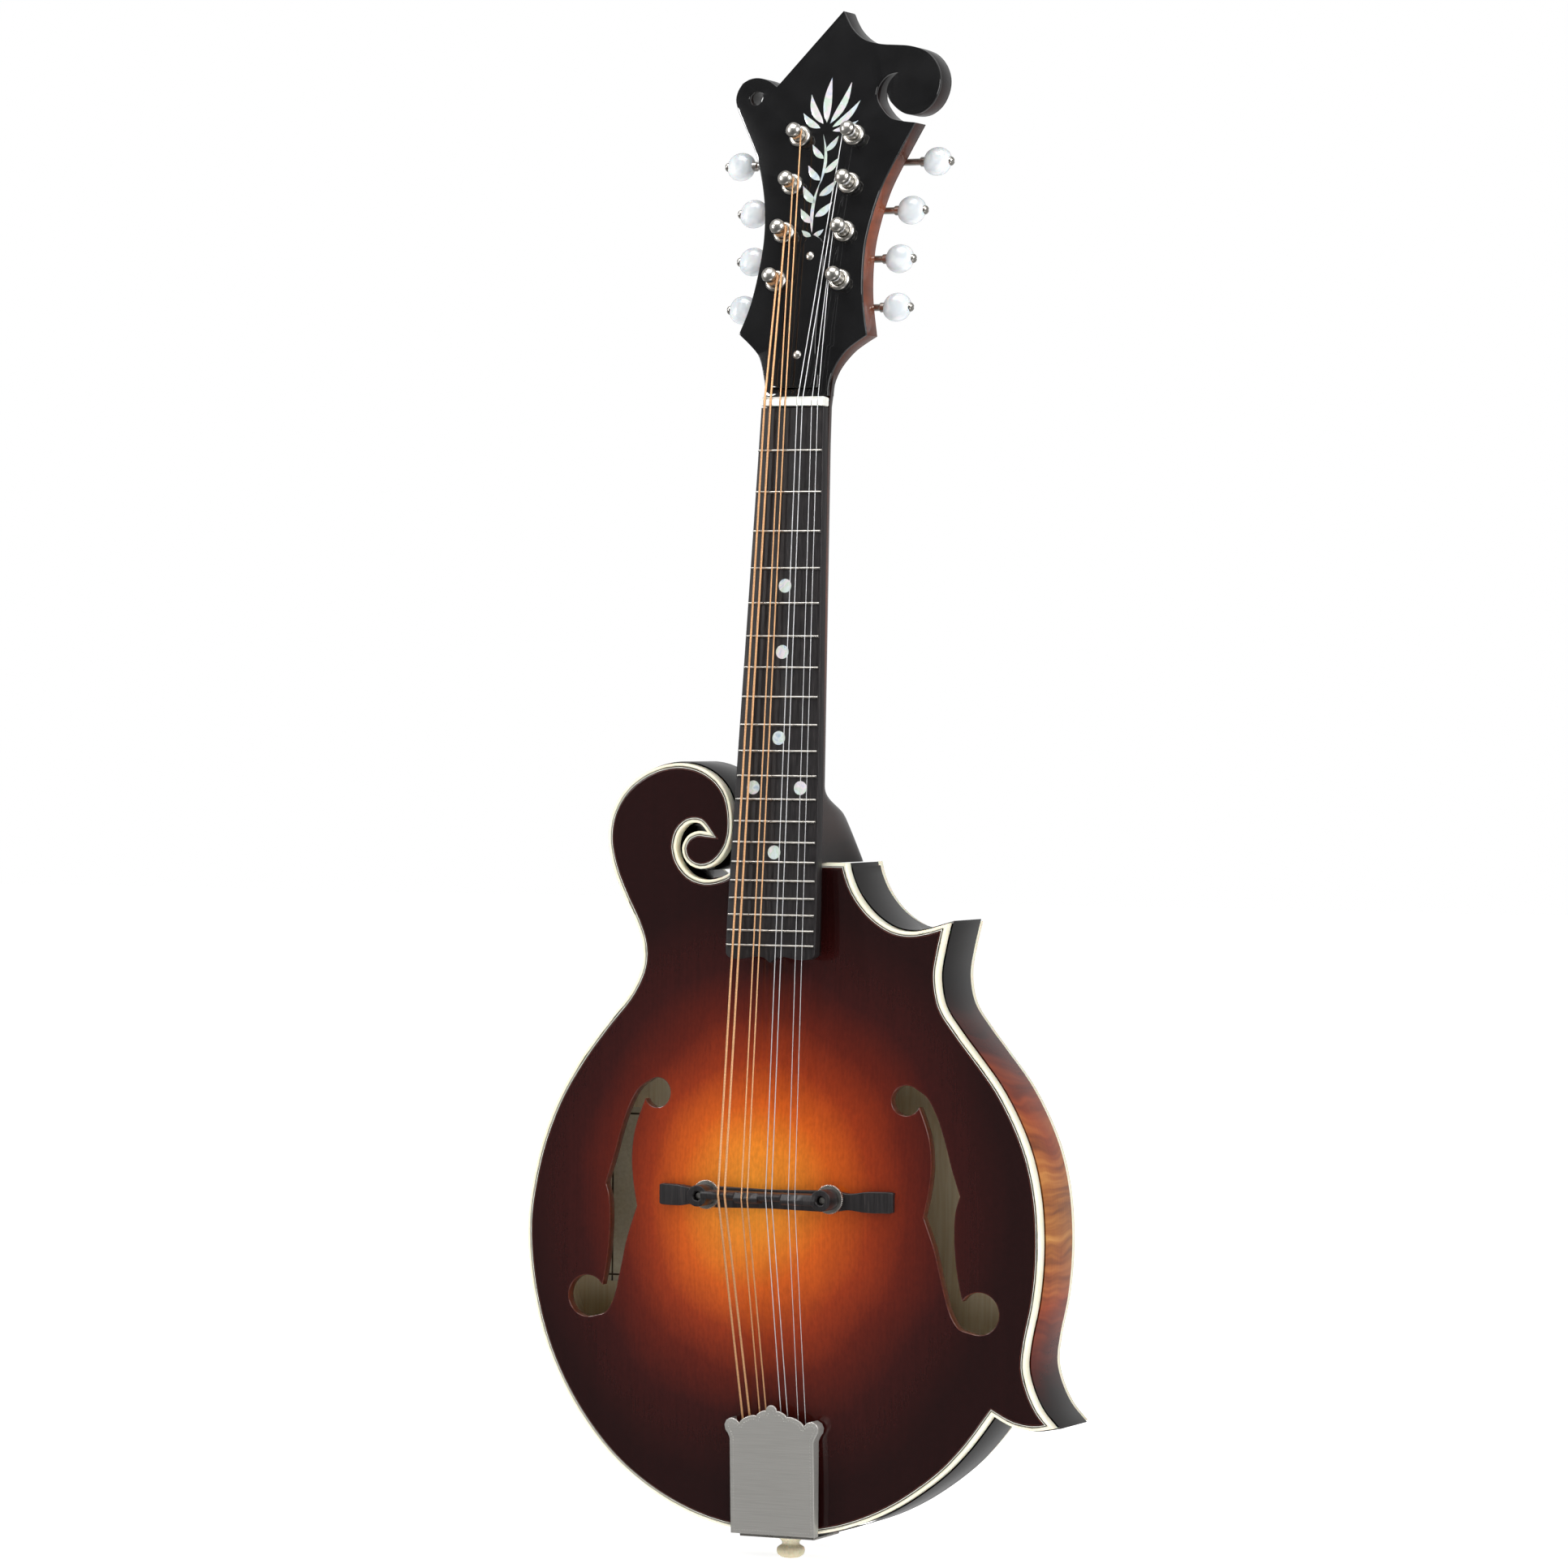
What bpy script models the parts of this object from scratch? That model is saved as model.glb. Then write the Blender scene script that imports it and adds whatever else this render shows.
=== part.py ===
"""A carved-top scroll mandolin, in metres: +Z runs up the neck, the front faces -Y and +X is the treble side.

The origin is on the fretboard's playing surface, in the middle of the nut's lower edge. The fretboard plane
tips forward from there by NECK_PITCH, the headstock tips back by HEAD_TILT, and the body's rims are square
to Y. Outlines are lists of points in millimetres, drawn on the body or headstock as seen from the front.
"""

import math

import bmesh
import bpy
import numpy as np
from mathutils import Matrix, Vector
from mathutils.bvhtree import BVHTree
from mathutils.geometry import delaunay_2d_cdt

mm = 0.001
GAP = 0.3 * mm  # between touching pieces

# Neck and fretboard
SCALE_LENGTH = 352.4 * mm
SADDLE_DISTANCE = SCALE_LENGTH + 1.5 * mm
NECK_PITCH = math.radians(4.778)
JOINT_FRET = 15
FRET_COUNT = 20
FRET_WIDTH = 1.2 * mm
FRET_HEIGHT = 1.0 * mm
NUT_WIDTH = 30.4 * mm
NUT_LENGTH = 4.6 * mm
NUT_RISE = 0.9 * mm
BOARD_WIDENING = 0.052  # added width for each unit of length
BOARD_THICKNESS = 5.5 * mm
BOARD_OVERHANG = 7.2 * mm  # past the last fret, to the end's centre point
NECK_DEPTH = 15.0 * mm
NECK_DEPTH_AT_HEEL = 16.8 * mm
HEEL_RISE_LENGTH = 34.0 * mm
HEEL_BASS_LIMIT = 22.5 * mm

# Headstock
HEAD_TILT = math.radians(17.0)
HEAD_FRONT = 3.6 * mm  # face's depth behind the origin
HEAD_DEPTH = 13.5 * mm  # along Y
VENEER_DEPTH = 1.9 * mm
HEAD_EYE = (-40.2 * mm, 143.0 * mm)
HEAD_EYE_RADIUS = 3.4 * mm
COVER_THICKNESS = 1.6 * mm
COVER_CENTRE = -1.6 * mm
ROD_NUT_RADIUS = 3.0 * mm
ROD_NUT_LENGTH = 11.0 * mm
ROD_NUT_DEPTH = 5.4 * mm
ROD_NUT_START = 9.5 * mm
ROD_POCKET_CLEARANCE = 0.9 * mm

# Tuners: distances up the headstock's face, and out from its centre line
TUNER_CENTRE = -2.3 * mm
TUNER_FIRST = 60.2 * mm
TUNER_SPACING = 23.3 * mm
TUNERS_A_SIDE = 4
TUNER_HALF_SPREAD = 15.6 * mm
TUNER_TAPER = 0.78 * mm  # lost from the half spread at each step up
BUTTON_OFFSETS = (37.9 * mm, 36.2 * mm, 39.0 * mm, 48.6 * mm)
POST_RADIUS = 3.0 * mm
POST_WAIST = 2.3 * mm
POST_CAP_RADIUS = 3.7 * mm
POST_HEIGHT = 10.5 * mm
POST_CLEARANCE = 0.45 * mm
PLATE_THICKNESS = 1.0 * mm
PLATE_HALF_WIDTH = 6.0 * mm
PLATE_BELOW = 13.5 * mm
PLATE_ABOVE = 7.5 * mm
GEAR_RADIUS = 4.6 * mm
GEAR_THICKNESS = 3.4 * mm
WORM_RADIUS = 2.3 * mm
WORM_HALF_LENGTH = 4.2 * mm
SHAFT_RADIUS = 1.6 * mm
BUTTON_RADIUS = 6.6 * mm
BUTTON_HALF_DEPTH = 3.9 * mm
BUTTON_END_TILT = math.radians(76)  # the end rings' latitude

# Body
BODY_WIDTH_SCALE = 1.0
BODY_LENGTH_SCALE = 1.0
PATTERN_JOINT = -203.3  # where the patterns below cross the neck joint
OVERSTAND = 11.28 * mm  # fretboard above the rims at the neck joint
RIM_DEPTH = 41.8 * mm
PLATE_EDGE = 5.0 * mm
TOP_RISE = 11.0 * mm
BACK_RISE = 9.0 * mm
ARCH_FALL = 3.1
TOP_THICKNESS = 4.4 * mm
BACK_THICKNESS = 4.2 * mm
BINDING_WIDTH = 1.6 * mm
RIM_INSET = 0.5 * mm
RIM_THICKNESS = 3.0 * mm
BLOCK_STEP = 7.0 * mm  # where a block meets a rib, its end is square to the rib this far in
TAIL_HALF_WIDTH = 10.0 * mm
TAIL_BLOCK_HALF_WIDTH = 24.0 * mm
TAIL_BLOCK_LENGTH = 22.0 * mm
TONE_BAR_WIDTH = 6.0 * mm
TONE_BAR_HEIGHT = 8.0 * mm
ARCH_GRID = 11.0 * mm

# Bridge
SADDLE_RISE = 3.2 * mm  # saddle's top above the fretboard plane
SADDLE_TOP_HALF = 27.0 * mm
SADDLE_FOOT_STEP = 0.5 * mm
SCOOP_DEPTH = 3.2 * mm  # below the saddle's middle, over the height of its feet
SCOOP_RISE = 1.5 * mm
SCOOP_SHARE = 0.72
BOSS_DROP = 1.2 * mm
SADDLE_WIDTH = 6.4 * mm
BASE_HALF_LENGTH = 57.0 * mm
BASE_WIDTH = 9.4 * mm
BASE_SEAT_RISE = 3.6 * mm
BASE_TIP = 2.4 * mm
BRIDGE_POST_SPREAD = 30.0 * mm
BRIDGE_POST_RADIUS = 1.8 * mm
BRIDGE_POST_CLEARANCE = 0.4 * mm
BRIDGE_POST_LENGTH = 11.0 * mm
WHEEL_RADIUS = 5.6 * mm
WHEEL_THICKNESS = 1.7 * mm
WHEEL_LIFT = 1.6 * mm  # room below a wheel at rest
BOSS_RADIUS = 4.8 * mm

# Tailpiece
COVER_SHOULDER = 43.5 * mm
COVER_HALF_WIDTH = 21.0 * mm
COVER_LIFT = 1.83 * mm  # at its mouth, from the strings' centre line to its face
COVER_TAIL_RISE = 7.6 * mm
COVER_SHEET = 0.8 * mm
TAILPIECE_HALF_WIDTH = 18.0 * mm
TAILPIECE_SHEET = 1.2 * mm
TAILPIECE_REACH = 42.0 * mm
HOOK_SHARE = 0.9  # of the reach, where the strings are hooked
TAILPIECE_FLANGE = 26.0 * mm
PIN_RADIUS = 6.5 * mm
PIN_SHANK = 3.0 * mm
PIN_SHANK_CLEARANCE = 0.45 * mm
PIN_LENGTH = 10.4 * mm
PIN_DEPTH = 13.0 * mm  # behind the front of the rims

# Strings, from the bass side: radius, then X at the nut, the saddle and the tailpiece
STRINGS = (
    (0.50 * mm, -12.9 * mm, -18.6 * mm, -14.8 * mm),
    (0.50 * mm, -10.0 * mm, -15.4 * mm, -11.2 * mm),
    (0.33 * mm, -5.4 * mm, -7.3 * mm, -6.6 * mm),
    (0.33 * mm, -2.9 * mm, -4.4 * mm, -3.4 * mm),
    (0.20 * mm, 2.9 * mm, 4.4 * mm, 3.4 * mm),
    (0.20 * mm, 5.4 * mm, 7.3 * mm, 6.6 * mm),
    (0.15 * mm, 10.0 * mm, 15.4 * mm, 11.2 * mm),
    (0.15 * mm, 12.9 * mm, 18.6 * mm, 14.8 * mm),
)
STRING_HEIGHT_AT_POST = 6.0 * mm

# The body's outline, clockwise from the treble side of the neck. Runs meet at corners.
SHOULDER = [
    (30.2, -203.3), (31.6, -209), (36, -218), (44, -226.8), (54, -232.4), (64, -233.2), (79.4, -229.3),
]
WAIST = [
    (79.4, -229.3), (76.6, -241), (74.8, -253), (77.2, -266), (84.5, -276.8), (93.8, -288.2), (104, -301.2),
    (112.4, -315.5), (118.9, -330.8), (122.8, -347), (124.4, -363), (124.3, -380), (122.4, -397),
    (119.3, -411.5), (117.9, -424), (120, -433), (125, -443), (131.6, -450.3),
]
LOWER_POINT = [(131.6, -450.3), (121.5, -451.8), (111.5, -450.3), (102.4, -446)]
LOWER_BOUT = [
    (102.4, -446), (92, -459.8), (80.6, -472), (68, -482), (54, -490.8), (38, -498), (20, -502.8),
    (0, -504.2), (-22, -502.9), (-42, -498.2), (-62.3, -489), (-80.6, -476.2), (-95, -461.2),
    (-107, -444), (-116, -425.8), (-122.2, -406), (-125.6, -386), (-126.3, -368), (-124.2, -352),
    (-119.4, -332.5), (-110.8, -311.5), (-99, -292.5), (-86.2, -276.2), (-75.6, -263.6), (-70, -252),
    (-69.4, -243), (-72.6, -232.8), (-78.6, -221), (-84.4, -207.5), (-87.1, -194), (-85.2, -182.5),
    (-79, -172), (-70, -164.8), (-60, -160.8), (-50, -159.8), (-40.5, -162), (-33, -166.8),
    (-27.8, -174), (-25.6, -185), (-27, -196), (-33.6, -204.8), (-41.4, -207.2), (-48, -204.2),
    (-50.4, -198), (-47.6, -192.4), (-42.6, -190.2), (-37.9, -190.6),
]
SCROLL_SLOT = [
    (-37.9, -190.6), (-41.6, -186.8), (-47, -186.9), (-51.6, -191), (-53.3, -197.5), (-51.4, -204),
    (-46.4, -209.6), (-39, -212), (-31, -210.8), (-25, -207.4),
]
OUTLINE_RUNS = (SHOULDER, WAIST, LOWER_POINT, LOWER_BOUT, SCROLL_SLOT)
HEAD_BLOCK_START = (-72.6, -232.8)
HEAD_BLOCK_END = (76.6, -241)
HEAD_BLOCK_INNER = [(58, -240), (34, -228), (-44, -226)]
LOWER_BLOCK_START = (120, -433)

# The treble f-hole: an eye at each end, and the two sides of the stem between their cusps
UPPER_EYE = (60.8, -308.2, 6.7)
LOWER_EYE = (95.8, -401.4, 9.4)
STEM_OUTER = (
    [(64.3, -302.5), (70, -306.3), (74, -312.4), (78.4, -323.5), (82.6, -338), (86.5, -349.8)],
    [(86.5, -349.8), (84.6, -356.6), (84.1, -368), (85.2, -382), (87.8, -396.2)],
)
STEM_INNER = (
    [(92.2, -410.2), (86.6, -408.4), (82.6, -402.4), (79, -389.8), (75.2, -374), (70.1, -359.5)],
    [(70.1, -359.5), (72.4, -348), (73.3, -337), (72, -325), (67.1, -310.9)],
)

# The headstock's outline, clockwise from the treble side of the nut
HEAD_RUNS = (
    [(-15.7, 4.9), (-16.4, 9), (-18, 14.3), (-22, 23.8), (-32.9, 33.5)],
    [
        (-32.9, 33.5), (-29.4, 45.5), (-27.3, 62), (-26.9, 78), (-29.5, 96), (-36.7, 117), (-46.4, 134),
        (-50.3, 142.8), (-48, 150.2), (-41.8, 152.6), (-35.5, 151.2), (-30.6, 148),
    ],
    [(-30.6, 148), (-2.3, 182.6)],
    [
        (-2.3, 182.6), (2.6, 174.8), (10, 168.8), (20, 166.3), (32, 165.3), (41.6, 162), (48.2, 154.6),
        (50.1, 146.6), (47.8, 138.4), (42.4, 133.8), (35.4, 133.4), (28.6, 137.6), (24.3, 143.6),
        (25.2, 149), (28.6, 153),
    ],
    [(28.6, 153), (23.6, 151.8), (19.8, 147.2), (19.4, 142), (22.4, 136.9), (28.4, 131.6), (40, 129.4)],
    [(40, 129.4), (34, 115.8), (27.6, 100), (23.9, 81.8), (23.2, 70), (25.2, 50), (29.6, 32.2)],
    [(29.6, 32.2), (21, 25.8), (16, 17.6), (14.6, 10), (15.0, 4.9)],
)


def board_point(distance, across, height):
    """A place on the fretboard: distance down from the nut, and height above the playing surface."""
    s, c = math.sin(NECK_PITCH), math.cos(NECK_PITCH)
    return Vector((across, -distance * s - height * c, -distance * c + height * s))


def board_y(z, height=0.0):
    return z * math.tan(NECK_PITCH) - height / math.cos(NECK_PITCH)


def face_point(across, up, depth):
    """A place on the headstock: up its face from the origin's level, and depth into the wood."""
    s, c = math.sin(HEAD_TILT), math.cos(HEAD_TILT)
    return Vector((across, HEAD_FRONT + up * s + depth * c, up * c - depth * s))


def face_y(z):
    return HEAD_FRONT + z * math.tan(HEAD_TILT)


def fret_distance(number):
    return SCALE_LENGTH * (1 - 2 ** (-number / 12))


def board_half_width(distance):
    return (NUT_WIDTH + BOARD_WIDENING * distance) / 2


JOINT_Z = -fret_distance(JOINT_FRET) * math.cos(NECK_PITCH)
RIM_FRONT = board_y(JOINT_Z) + OVERSTAND
RIM_BACK = RIM_FRONT + RIM_DEPTH
SADDLE_PLACE = board_point(SADDLE_DISTANCE, 0, SADDLE_RISE)
BOARD_LENGTH = fret_distance(FRET_COUNT) + BOARD_OVERHANG


def on_body(point):
    """A pattern point in millimetres, as X and Z in metres, sized to the body."""
    x, z = point
    down = (z - PATTERN_JOINT) * mm * BODY_LENGTH_SCALE
    return Vector((x * mm * BODY_WIDTH_SCALE, JOINT_Z + down))


def smooth(points, steps):
    """A centripetal Catmull-Rom curve through the points, ends included."""
    p = [Vector(q) for q in points]
    p = [2 * p[0] - p[1], *p, 2 * p[-1] - p[-2]]
    curve = []
    for a, b, c, d in zip(p, p[1:], p[2:], p[3:], strict=False):
        ab, bc, cd = (math.sqrt((v - u).length) for u, v in ((a, b), (b, c), (c, d)))
        leave = (c - b) + bc * ((b - a) / ab - (c - a) / (ab + bc))
        arrive = (c - b) + bc * ((d - c) / cd - (d - b) / (bc + cd))
        for i in range(steps):
            t = i / steps
            h1, h2 = t**3 - 2 * t**2 + t, t**3 - t**2
            h0, h3 = 2 * t**3 - 3 * t**2 + 1, 3 * t**2 - 2 * t**3
            curve.append(h0 * b + h1 * leave + h3 * c + h2 * arrive)
    return [*curve, p[-2]]


def joined(runs, steps):
    """Smooth runs end to end, as one path that keeps their corners."""
    path = []
    for run in runs:
        path += smooth(run, steps if len(run) > 2 else 1)[:-1]
    return [*path, Vector(runs[-1][-1])]


def moved_in(path, distance, closed, sharpest=2.4):
    """The path moved to its right, which is inward on a clockwise outline."""
    count, out = len(path), []
    for i, point in enumerate(path):
        before = path[i - 1] if closed or i else 2 * path[0] - path[1]
        after = path[(i + 1) % count] if closed or i < count - 1 else 2 * path[-1] - path[-2]
        normals = []
        for run in (point - before, after - point):
            run.normalize()
            normals.append(Vector((run.y, -run.x)))
        middle = (normals[0] + normals[1]).normalized()
        reach = distance / max(middle.dot(normals[0]), 1 / sharpest)
        out.append(point + middle * reach)
    return out


def arc(centre_x, centre_z, radius, start, stop, steps):
    turn = [math.radians(start + (stop - start) * i / steps) for i in range(steps + 1)]
    return [Vector((centre_x + radius * math.cos(a), centre_z + radius * math.sin(a))) for a in turn]


def ring(centre, radius, sides):
    return arc(centre[0], centre[1], radius, 0, 360 - 360 / sides, sides - 1)


def inside(point, polygon):
    x, z = point
    odd = False
    for a, b in zip(polygon, polygon[1:] + polygon[:1], strict=True):
        if (a[1] > z) != (b[1] > z) and x < (b[0] - a[0]) * (z - a[1]) / (b[1] - a[1]) + a[0]:
            odd = not odd
    return odd


def material(name, red, green, blue, roughness, metallic=0.0):
    made = bpy.data.materials.new(name)
    made.use_nodes = True
    shader = made.node_tree.nodes["Principled BSDF"]
    shader.inputs["Base Color"].default_value = (red, green, blue, 1)
    shader.inputs["Roughness"].default_value = roughness
    shader.inputs["Metallic"].default_value = metallic
    return made


def add_object(name, verts, faces, finish, sharp=35):
    """A closed mesh as an object of the scene, its faces turned outward."""
    mesh = bpy.data.meshes.new(name)
    mesh.from_pydata([tuple(v) for v in verts], [], faces)
    mesh.materials.append(finish)
    bm = bmesh.new()
    bm.from_mesh(mesh)
    bmesh.ops.recalc_face_normals(bm, faces=bm.faces)
    bm.to_mesh(mesh)
    bm.free()
    mesh.shade_smooth()
    mesh.set_sharp_from_angle(angle=math.radians(sharp))
    made = bpy.data.objects.new(name, mesh)
    bpy.context.scene.collection.objects.link(made)
    return made


def loft(name, rings, finish, sharp=35):
    """Closed rings of equal count, joined side by side, with both ends capped."""
    count = len(rings[0])
    verts = [v for r in rings for v in r]
    faces = [tuple(range(count)), tuple(range(len(verts) - count, len(verts)))]
    for r in range(len(rings) - 1):
        low, high = r * count, (r + 1) * count
        for i in range(count):
            j = (i + 1) % count
            faces.append((low + i, low + j, high + j, high + i))
    return add_object(name, verts, faces, finish, sharp)


def slab(name, outline, front, back, finish):
    """An X-Z outline given depth: front and back are Y values or functions of X and Z."""
    sides = [side if callable(side) else (lambda x, z, y=side: y) for side in (front, back)]
    rings = [[Vector((p[0], side(p[0], p[1]), p[1])) for p in outline] for side in sides]
    return loft(name, rings, finish)


def band(name, path, thickness, front, back, finish):
    """A strip along the right of an open path."""
    inner = moved_in(path, thickness, closed=False)
    rings = []
    for a, b in zip(path, inner, strict=True):
        rings.append([(p[0], y, p[1]) for p, y in ((a, front), (a, back), (b, back), (b, front))])
    return loft(name, rings, finish)


def turned(name, profile, place, sides, finish, sharp=35):
    """A round piece: (radius, distance along) pairs about the third column of the placing matrix."""
    rings = []
    for radius, along in profile:
        loop = ring((0, 0), radius, sides)
        rings.append([place @ Vector((p[0], p[1], along)) for p in loop])
    return loft(name, rings, finish, sharp)


def aimed(origin, direction):
    """A matrix that carries +Z to the direction, at the origin given."""
    turn = Vector(direction).to_track_quat("Z", "Y").to_matrix().to_4x4()
    return Matrix.Translation(Vector(origin)) @ turn


def combine(target, tool, operation):
    """Joins or cuts the target with the tool for good, and removes the tool."""
    step = target.modifiers.new(operation, "BOOLEAN")
    step.operation = operation
    step.solver = "EXACT"
    step.object = tool
    bpy.context.view_layer.update()
    shape = bpy.data.meshes.new_from_object(target.evaluated_get(bpy.context.evaluated_depsgraph_get()))
    target.modifiers.clear()
    target.data = shape
    bpy.data.objects.remove(tool)


def cut_bore(target, place, radius, length, sides=12):
    """A hole along the placing matrix's +Z, from its origin."""
    tool = turned("tool", [(radius, 0), (radius, length)], place, sides, METAL)
    combine(target, tool, "DIFFERENCE")


def set_origin(made, origin):
    """Moves an object's origin without moving its shape."""
    made.data.transform(Matrix.Translation(-Vector(origin)))
    made.location = origin


def body_outline():
    """The runs in place, with the scroll's slot ending at the side of the neck."""
    runs = [[on_body(p) for p in run] for run in OUTLINE_RUNS]
    runs[-1].append(Vector((-board_half_width(-JOINT_Z) - GAP, JOINT_Z)))
    return joined(runs, 3)


def fhole(side):
    """One f-hole's closed outline; side is 1 for the treble's and -1 for the bass's."""
    loop = arc(*UPPER_EYE, -24, -302, 11)[:-1] + joined(STEM_OUTER, 3)[:-1]
    loop += arc(*LOWER_EYE, 146, -112, 13)[:-1] + joined(STEM_INNER, 3)[:-1]
    return [on_body((side * p[0], p[1])) for p in loop]


def path_between(path, start, stop, cut_start=0.0, cut_stop=0.0):
    """The part of a path between the points nearest to two places, shortened at each end."""
    near = [min(range(len(path)), key=lambda i: (path[i] - place).length) for place in (start, stop)]
    part = path[near[0] : near[1] + 1]
    return shortened(shortened(part, cut_start)[::-1], cut_stop)[::-1]


def shortened(path, length):
    """The path without its first stretch of the length given."""
    rest = list(path)
    while len(rest) > 2 and (rest[1] - rest[0]).length <= length:
        length -= (rest[1] - rest[0]).length
        rest.pop(0)
    return [rest[0] + (rest[1] - rest[0]).normalized() * length, *rest[1:]]


def arched_height(verts, faces, edge):
    """Each point's share of the full rise: the bulge of a skin that is held along its edge."""
    flat = np.array([tuple(v) for v in verts])
    stiffness = np.zeros((len(flat), len(flat)))
    load = np.zeros(len(flat))
    for face in faces:
        corners = flat[list(face)]
        sides = corners[[2, 0, 1]] - corners[[1, 2, 0]]
        area = abs(sides[0][0] * sides[1][1] - sides[0][1] * sides[1][0]) / 2
        for i, vi in enumerate(face):
            load[vi] += area / 3
            for j, vj in enumerate(face):
                stiffness[vi, vj] += sides[i] @ sides[j] / (4 * area)
    free = [i for i in range(len(flat)) if i not in edge]
    share = np.zeros(len(flat))
    share[free] = np.linalg.solve(stiffness[np.ix_(free, free)], load[free])
    return (np.clip(share / share.max(), 0, 1)) ** ARCH_FALL


def carved_plate(name, outline, holes, edge_y, outward, rise, thickness, finish):
    """A plate carved to an arch over the outline, with its underside hollowed to one thickness."""
    points, edges = list(outline), []
    edges += [(i, (i + 1) % len(outline)) for i in range(len(outline))]
    for hole in holes:
        first = len(points)
        points += hole
        edges += [(first + i, first + (i + 1) % len(hole)) for i in range(len(hole))]
    low = [min(p[k] for p in outline) for k in (0, 1)]
    high = [max(p[k] for p in outline) for k in (0, 1)]
    fixed = np.array([tuple(p) for p in points])
    row_step = ARCH_GRID * math.sqrt(3) / 2
    for row in range(1, int((high[1] - low[1]) / row_step) + 1):
        z = low[1] + row * row_step
        for column in range(int((high[0] - low[0]) / ARCH_GRID) + 2):
            x = low[0] + (column - 0.5 * (row % 2)) * ARCH_GRID
            apart = np.min(np.hypot(fixed[:, 0] - x, fixed[:, 1] - z))
            if apart > ARCH_GRID * 0.5 and inside((x, z), outline):
                points.append(Vector((x, z)))
    verts, _, faces, *_ = delaunay_2d_cdt(points, edges, [], 0, 1e-7, False)
    outline_only = [f for f in faces if inside(sum((verts[i] for i in f), Vector((0, 0))) / 3, outline)]
    near_edge = {i for i, v in enumerate(verts) if min((v - p).length for p in outline) < 1e-6}
    share = arched_height(verts, outline_only, near_edge)
    centre = {f: sum((verts[i] for i in f), Vector((0, 0))) / 3 for f in map(tuple, outline_only)}
    kept = [f for f, c in centre.items() if not any(inside(c, hole) for hole in holes)]
    used = sorted({i for f in kept for i in f})
    new = {old: i for i, old in enumerate(used)}
    kept = [tuple(new[i] for i in f) for f in kept]
    inner_share = 1 - (PLATE_EDGE - thickness) / rise
    outer = [Vector((verts[i].x, edge_y + outward * rise * share[i], verts[i].y)) for i in used]
    inner = []
    for i in used:
        y = edge_y - outward * PLATE_EDGE + outward * rise * share[i] * (2 - inner_share)
        inner.append(Vector((verts[i].x, y, verts[i].y)))
    count = len(used)
    faces = [*kept, *(tuple(i + count for i in reversed(f)) for f in kept)]
    directed = {(f[k], f[(k + 1) % 3]) for f in kept for k in range(3)}
    faces += [(b, a, a + count, b + count) for a, b in directed if (b, a) not in directed]
    plate = add_object(name, outer + inner, faces, finish)
    return plate, BVHTree.FromPolygons(outer, kept), BVHTree.FromPolygons(inner, kept)


def surface_y(tree, x, z):
    hit = tree.ray_cast(Vector((x, -1, z)), Vector((0, 1, 0)))[0]
    return hit.y if hit else None


def highest_under(tree, places):
    """The frontmost Y of a surface under a footprint."""
    found = [surface_y(tree, x, z) for x, z in places]
    return min(y for y in found if y is not None)


for old in list(bpy.data.objects):
    bpy.data.objects.remove(old)

BOARD_BACK = BOARD_THICKNESS + GAP
HEAD_THICKNESS = HEAD_DEPTH * math.cos(HEAD_TILT)
SPRUCE = material("sunburst_spruce", 0.24, 0.045, 0.012, 0.12)
MAPLE = material("stained_maple", 0.16, 0.045, 0.015, 0.15)
BARE_WOOD = material("bare_wood", 0.42, 0.30, 0.19, 0.7)
BLACK = material("black_lacquer", 0.012, 0.011, 0.011, 0.12)
EBONY = material("ebony", 0.02, 0.018, 0.017, 0.35)
BINDING = material("cream_binding", 0.80, 0.72, 0.52, 0.3)
BONE = material("bone", 0.82, 0.80, 0.74, 0.35)
PEARL = material("pearl_button", 0.78, 0.80, 0.80, 0.2)
METAL = material("nickel", 0.62, 0.60, 0.56, 0.2, 1.0)
STEEL = material("steel_string", 0.6, 0.6, 0.6, 0.3, 1.0)
BRONZE = material("bronze_string", 0.62, 0.42, 0.22, 0.35, 1.0)

OUTLINE = body_outline()
TAIL_Z = min(p[1] for p in OUTLINE)
INNER_FRONT = RIM_FRONT + PLATE_EDGE + GAP
INNER_BACK = RIM_BACK - PLATE_EDGE - GAP


# The body's two carved plates, inside their bindings
plate_outline = moved_in(OUTLINE, BINDING_WIDTH + GAP, closed=True)
fholes = [fhole(side) for side in (-1, 1)]
_, TOP_OUTER, TOP_INNER = carved_plate(
    "top_plate", plate_outline, fholes, RIM_FRONT, -1, TOP_RISE, TOP_THICKNESS, SPRUCE
)
carved_plate("back_plate", plate_outline, [], RIM_BACK, 1, BACK_RISE, BACK_THICKNESS, MAPLE)
band("top_binding", OUTLINE, BINDING_WIDTH, RIM_FRONT, RIM_FRONT + PLATE_EDGE, BINDING)
band("back_binding", OUTLINE, BINDING_WIDTH, RIM_BACK - PLATE_EDGE, RIM_BACK, BINDING)


# The rims: bent ribs between solid blocks, all a little inside the bindings
rim_line = moved_in(OUTLINE, RIM_INSET, closed=True)
block_start, block_end, lower_start, notch = (
    on_body(p) for p in (HEAD_BLOCK_START, HEAD_BLOCK_END, LOWER_BLOCK_START, LOWER_POINT[-1])
)
tail = Vector((0, TAIL_Z))

bass_rib = path_between(rim_line, tail, block_start, TAIL_HALF_WIDTH, GAP)
band("rim_bass", bass_rib, RIM_THICKNESS, INNER_FRONT, INNER_BACK, MAPLE)
waist_rib = path_between(rim_line, block_end, lower_start, GAP, GAP)
band("rim_waist", waist_rib, RIM_THICKNESS, INNER_FRONT, INNER_BACK, MAPLE)

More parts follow.
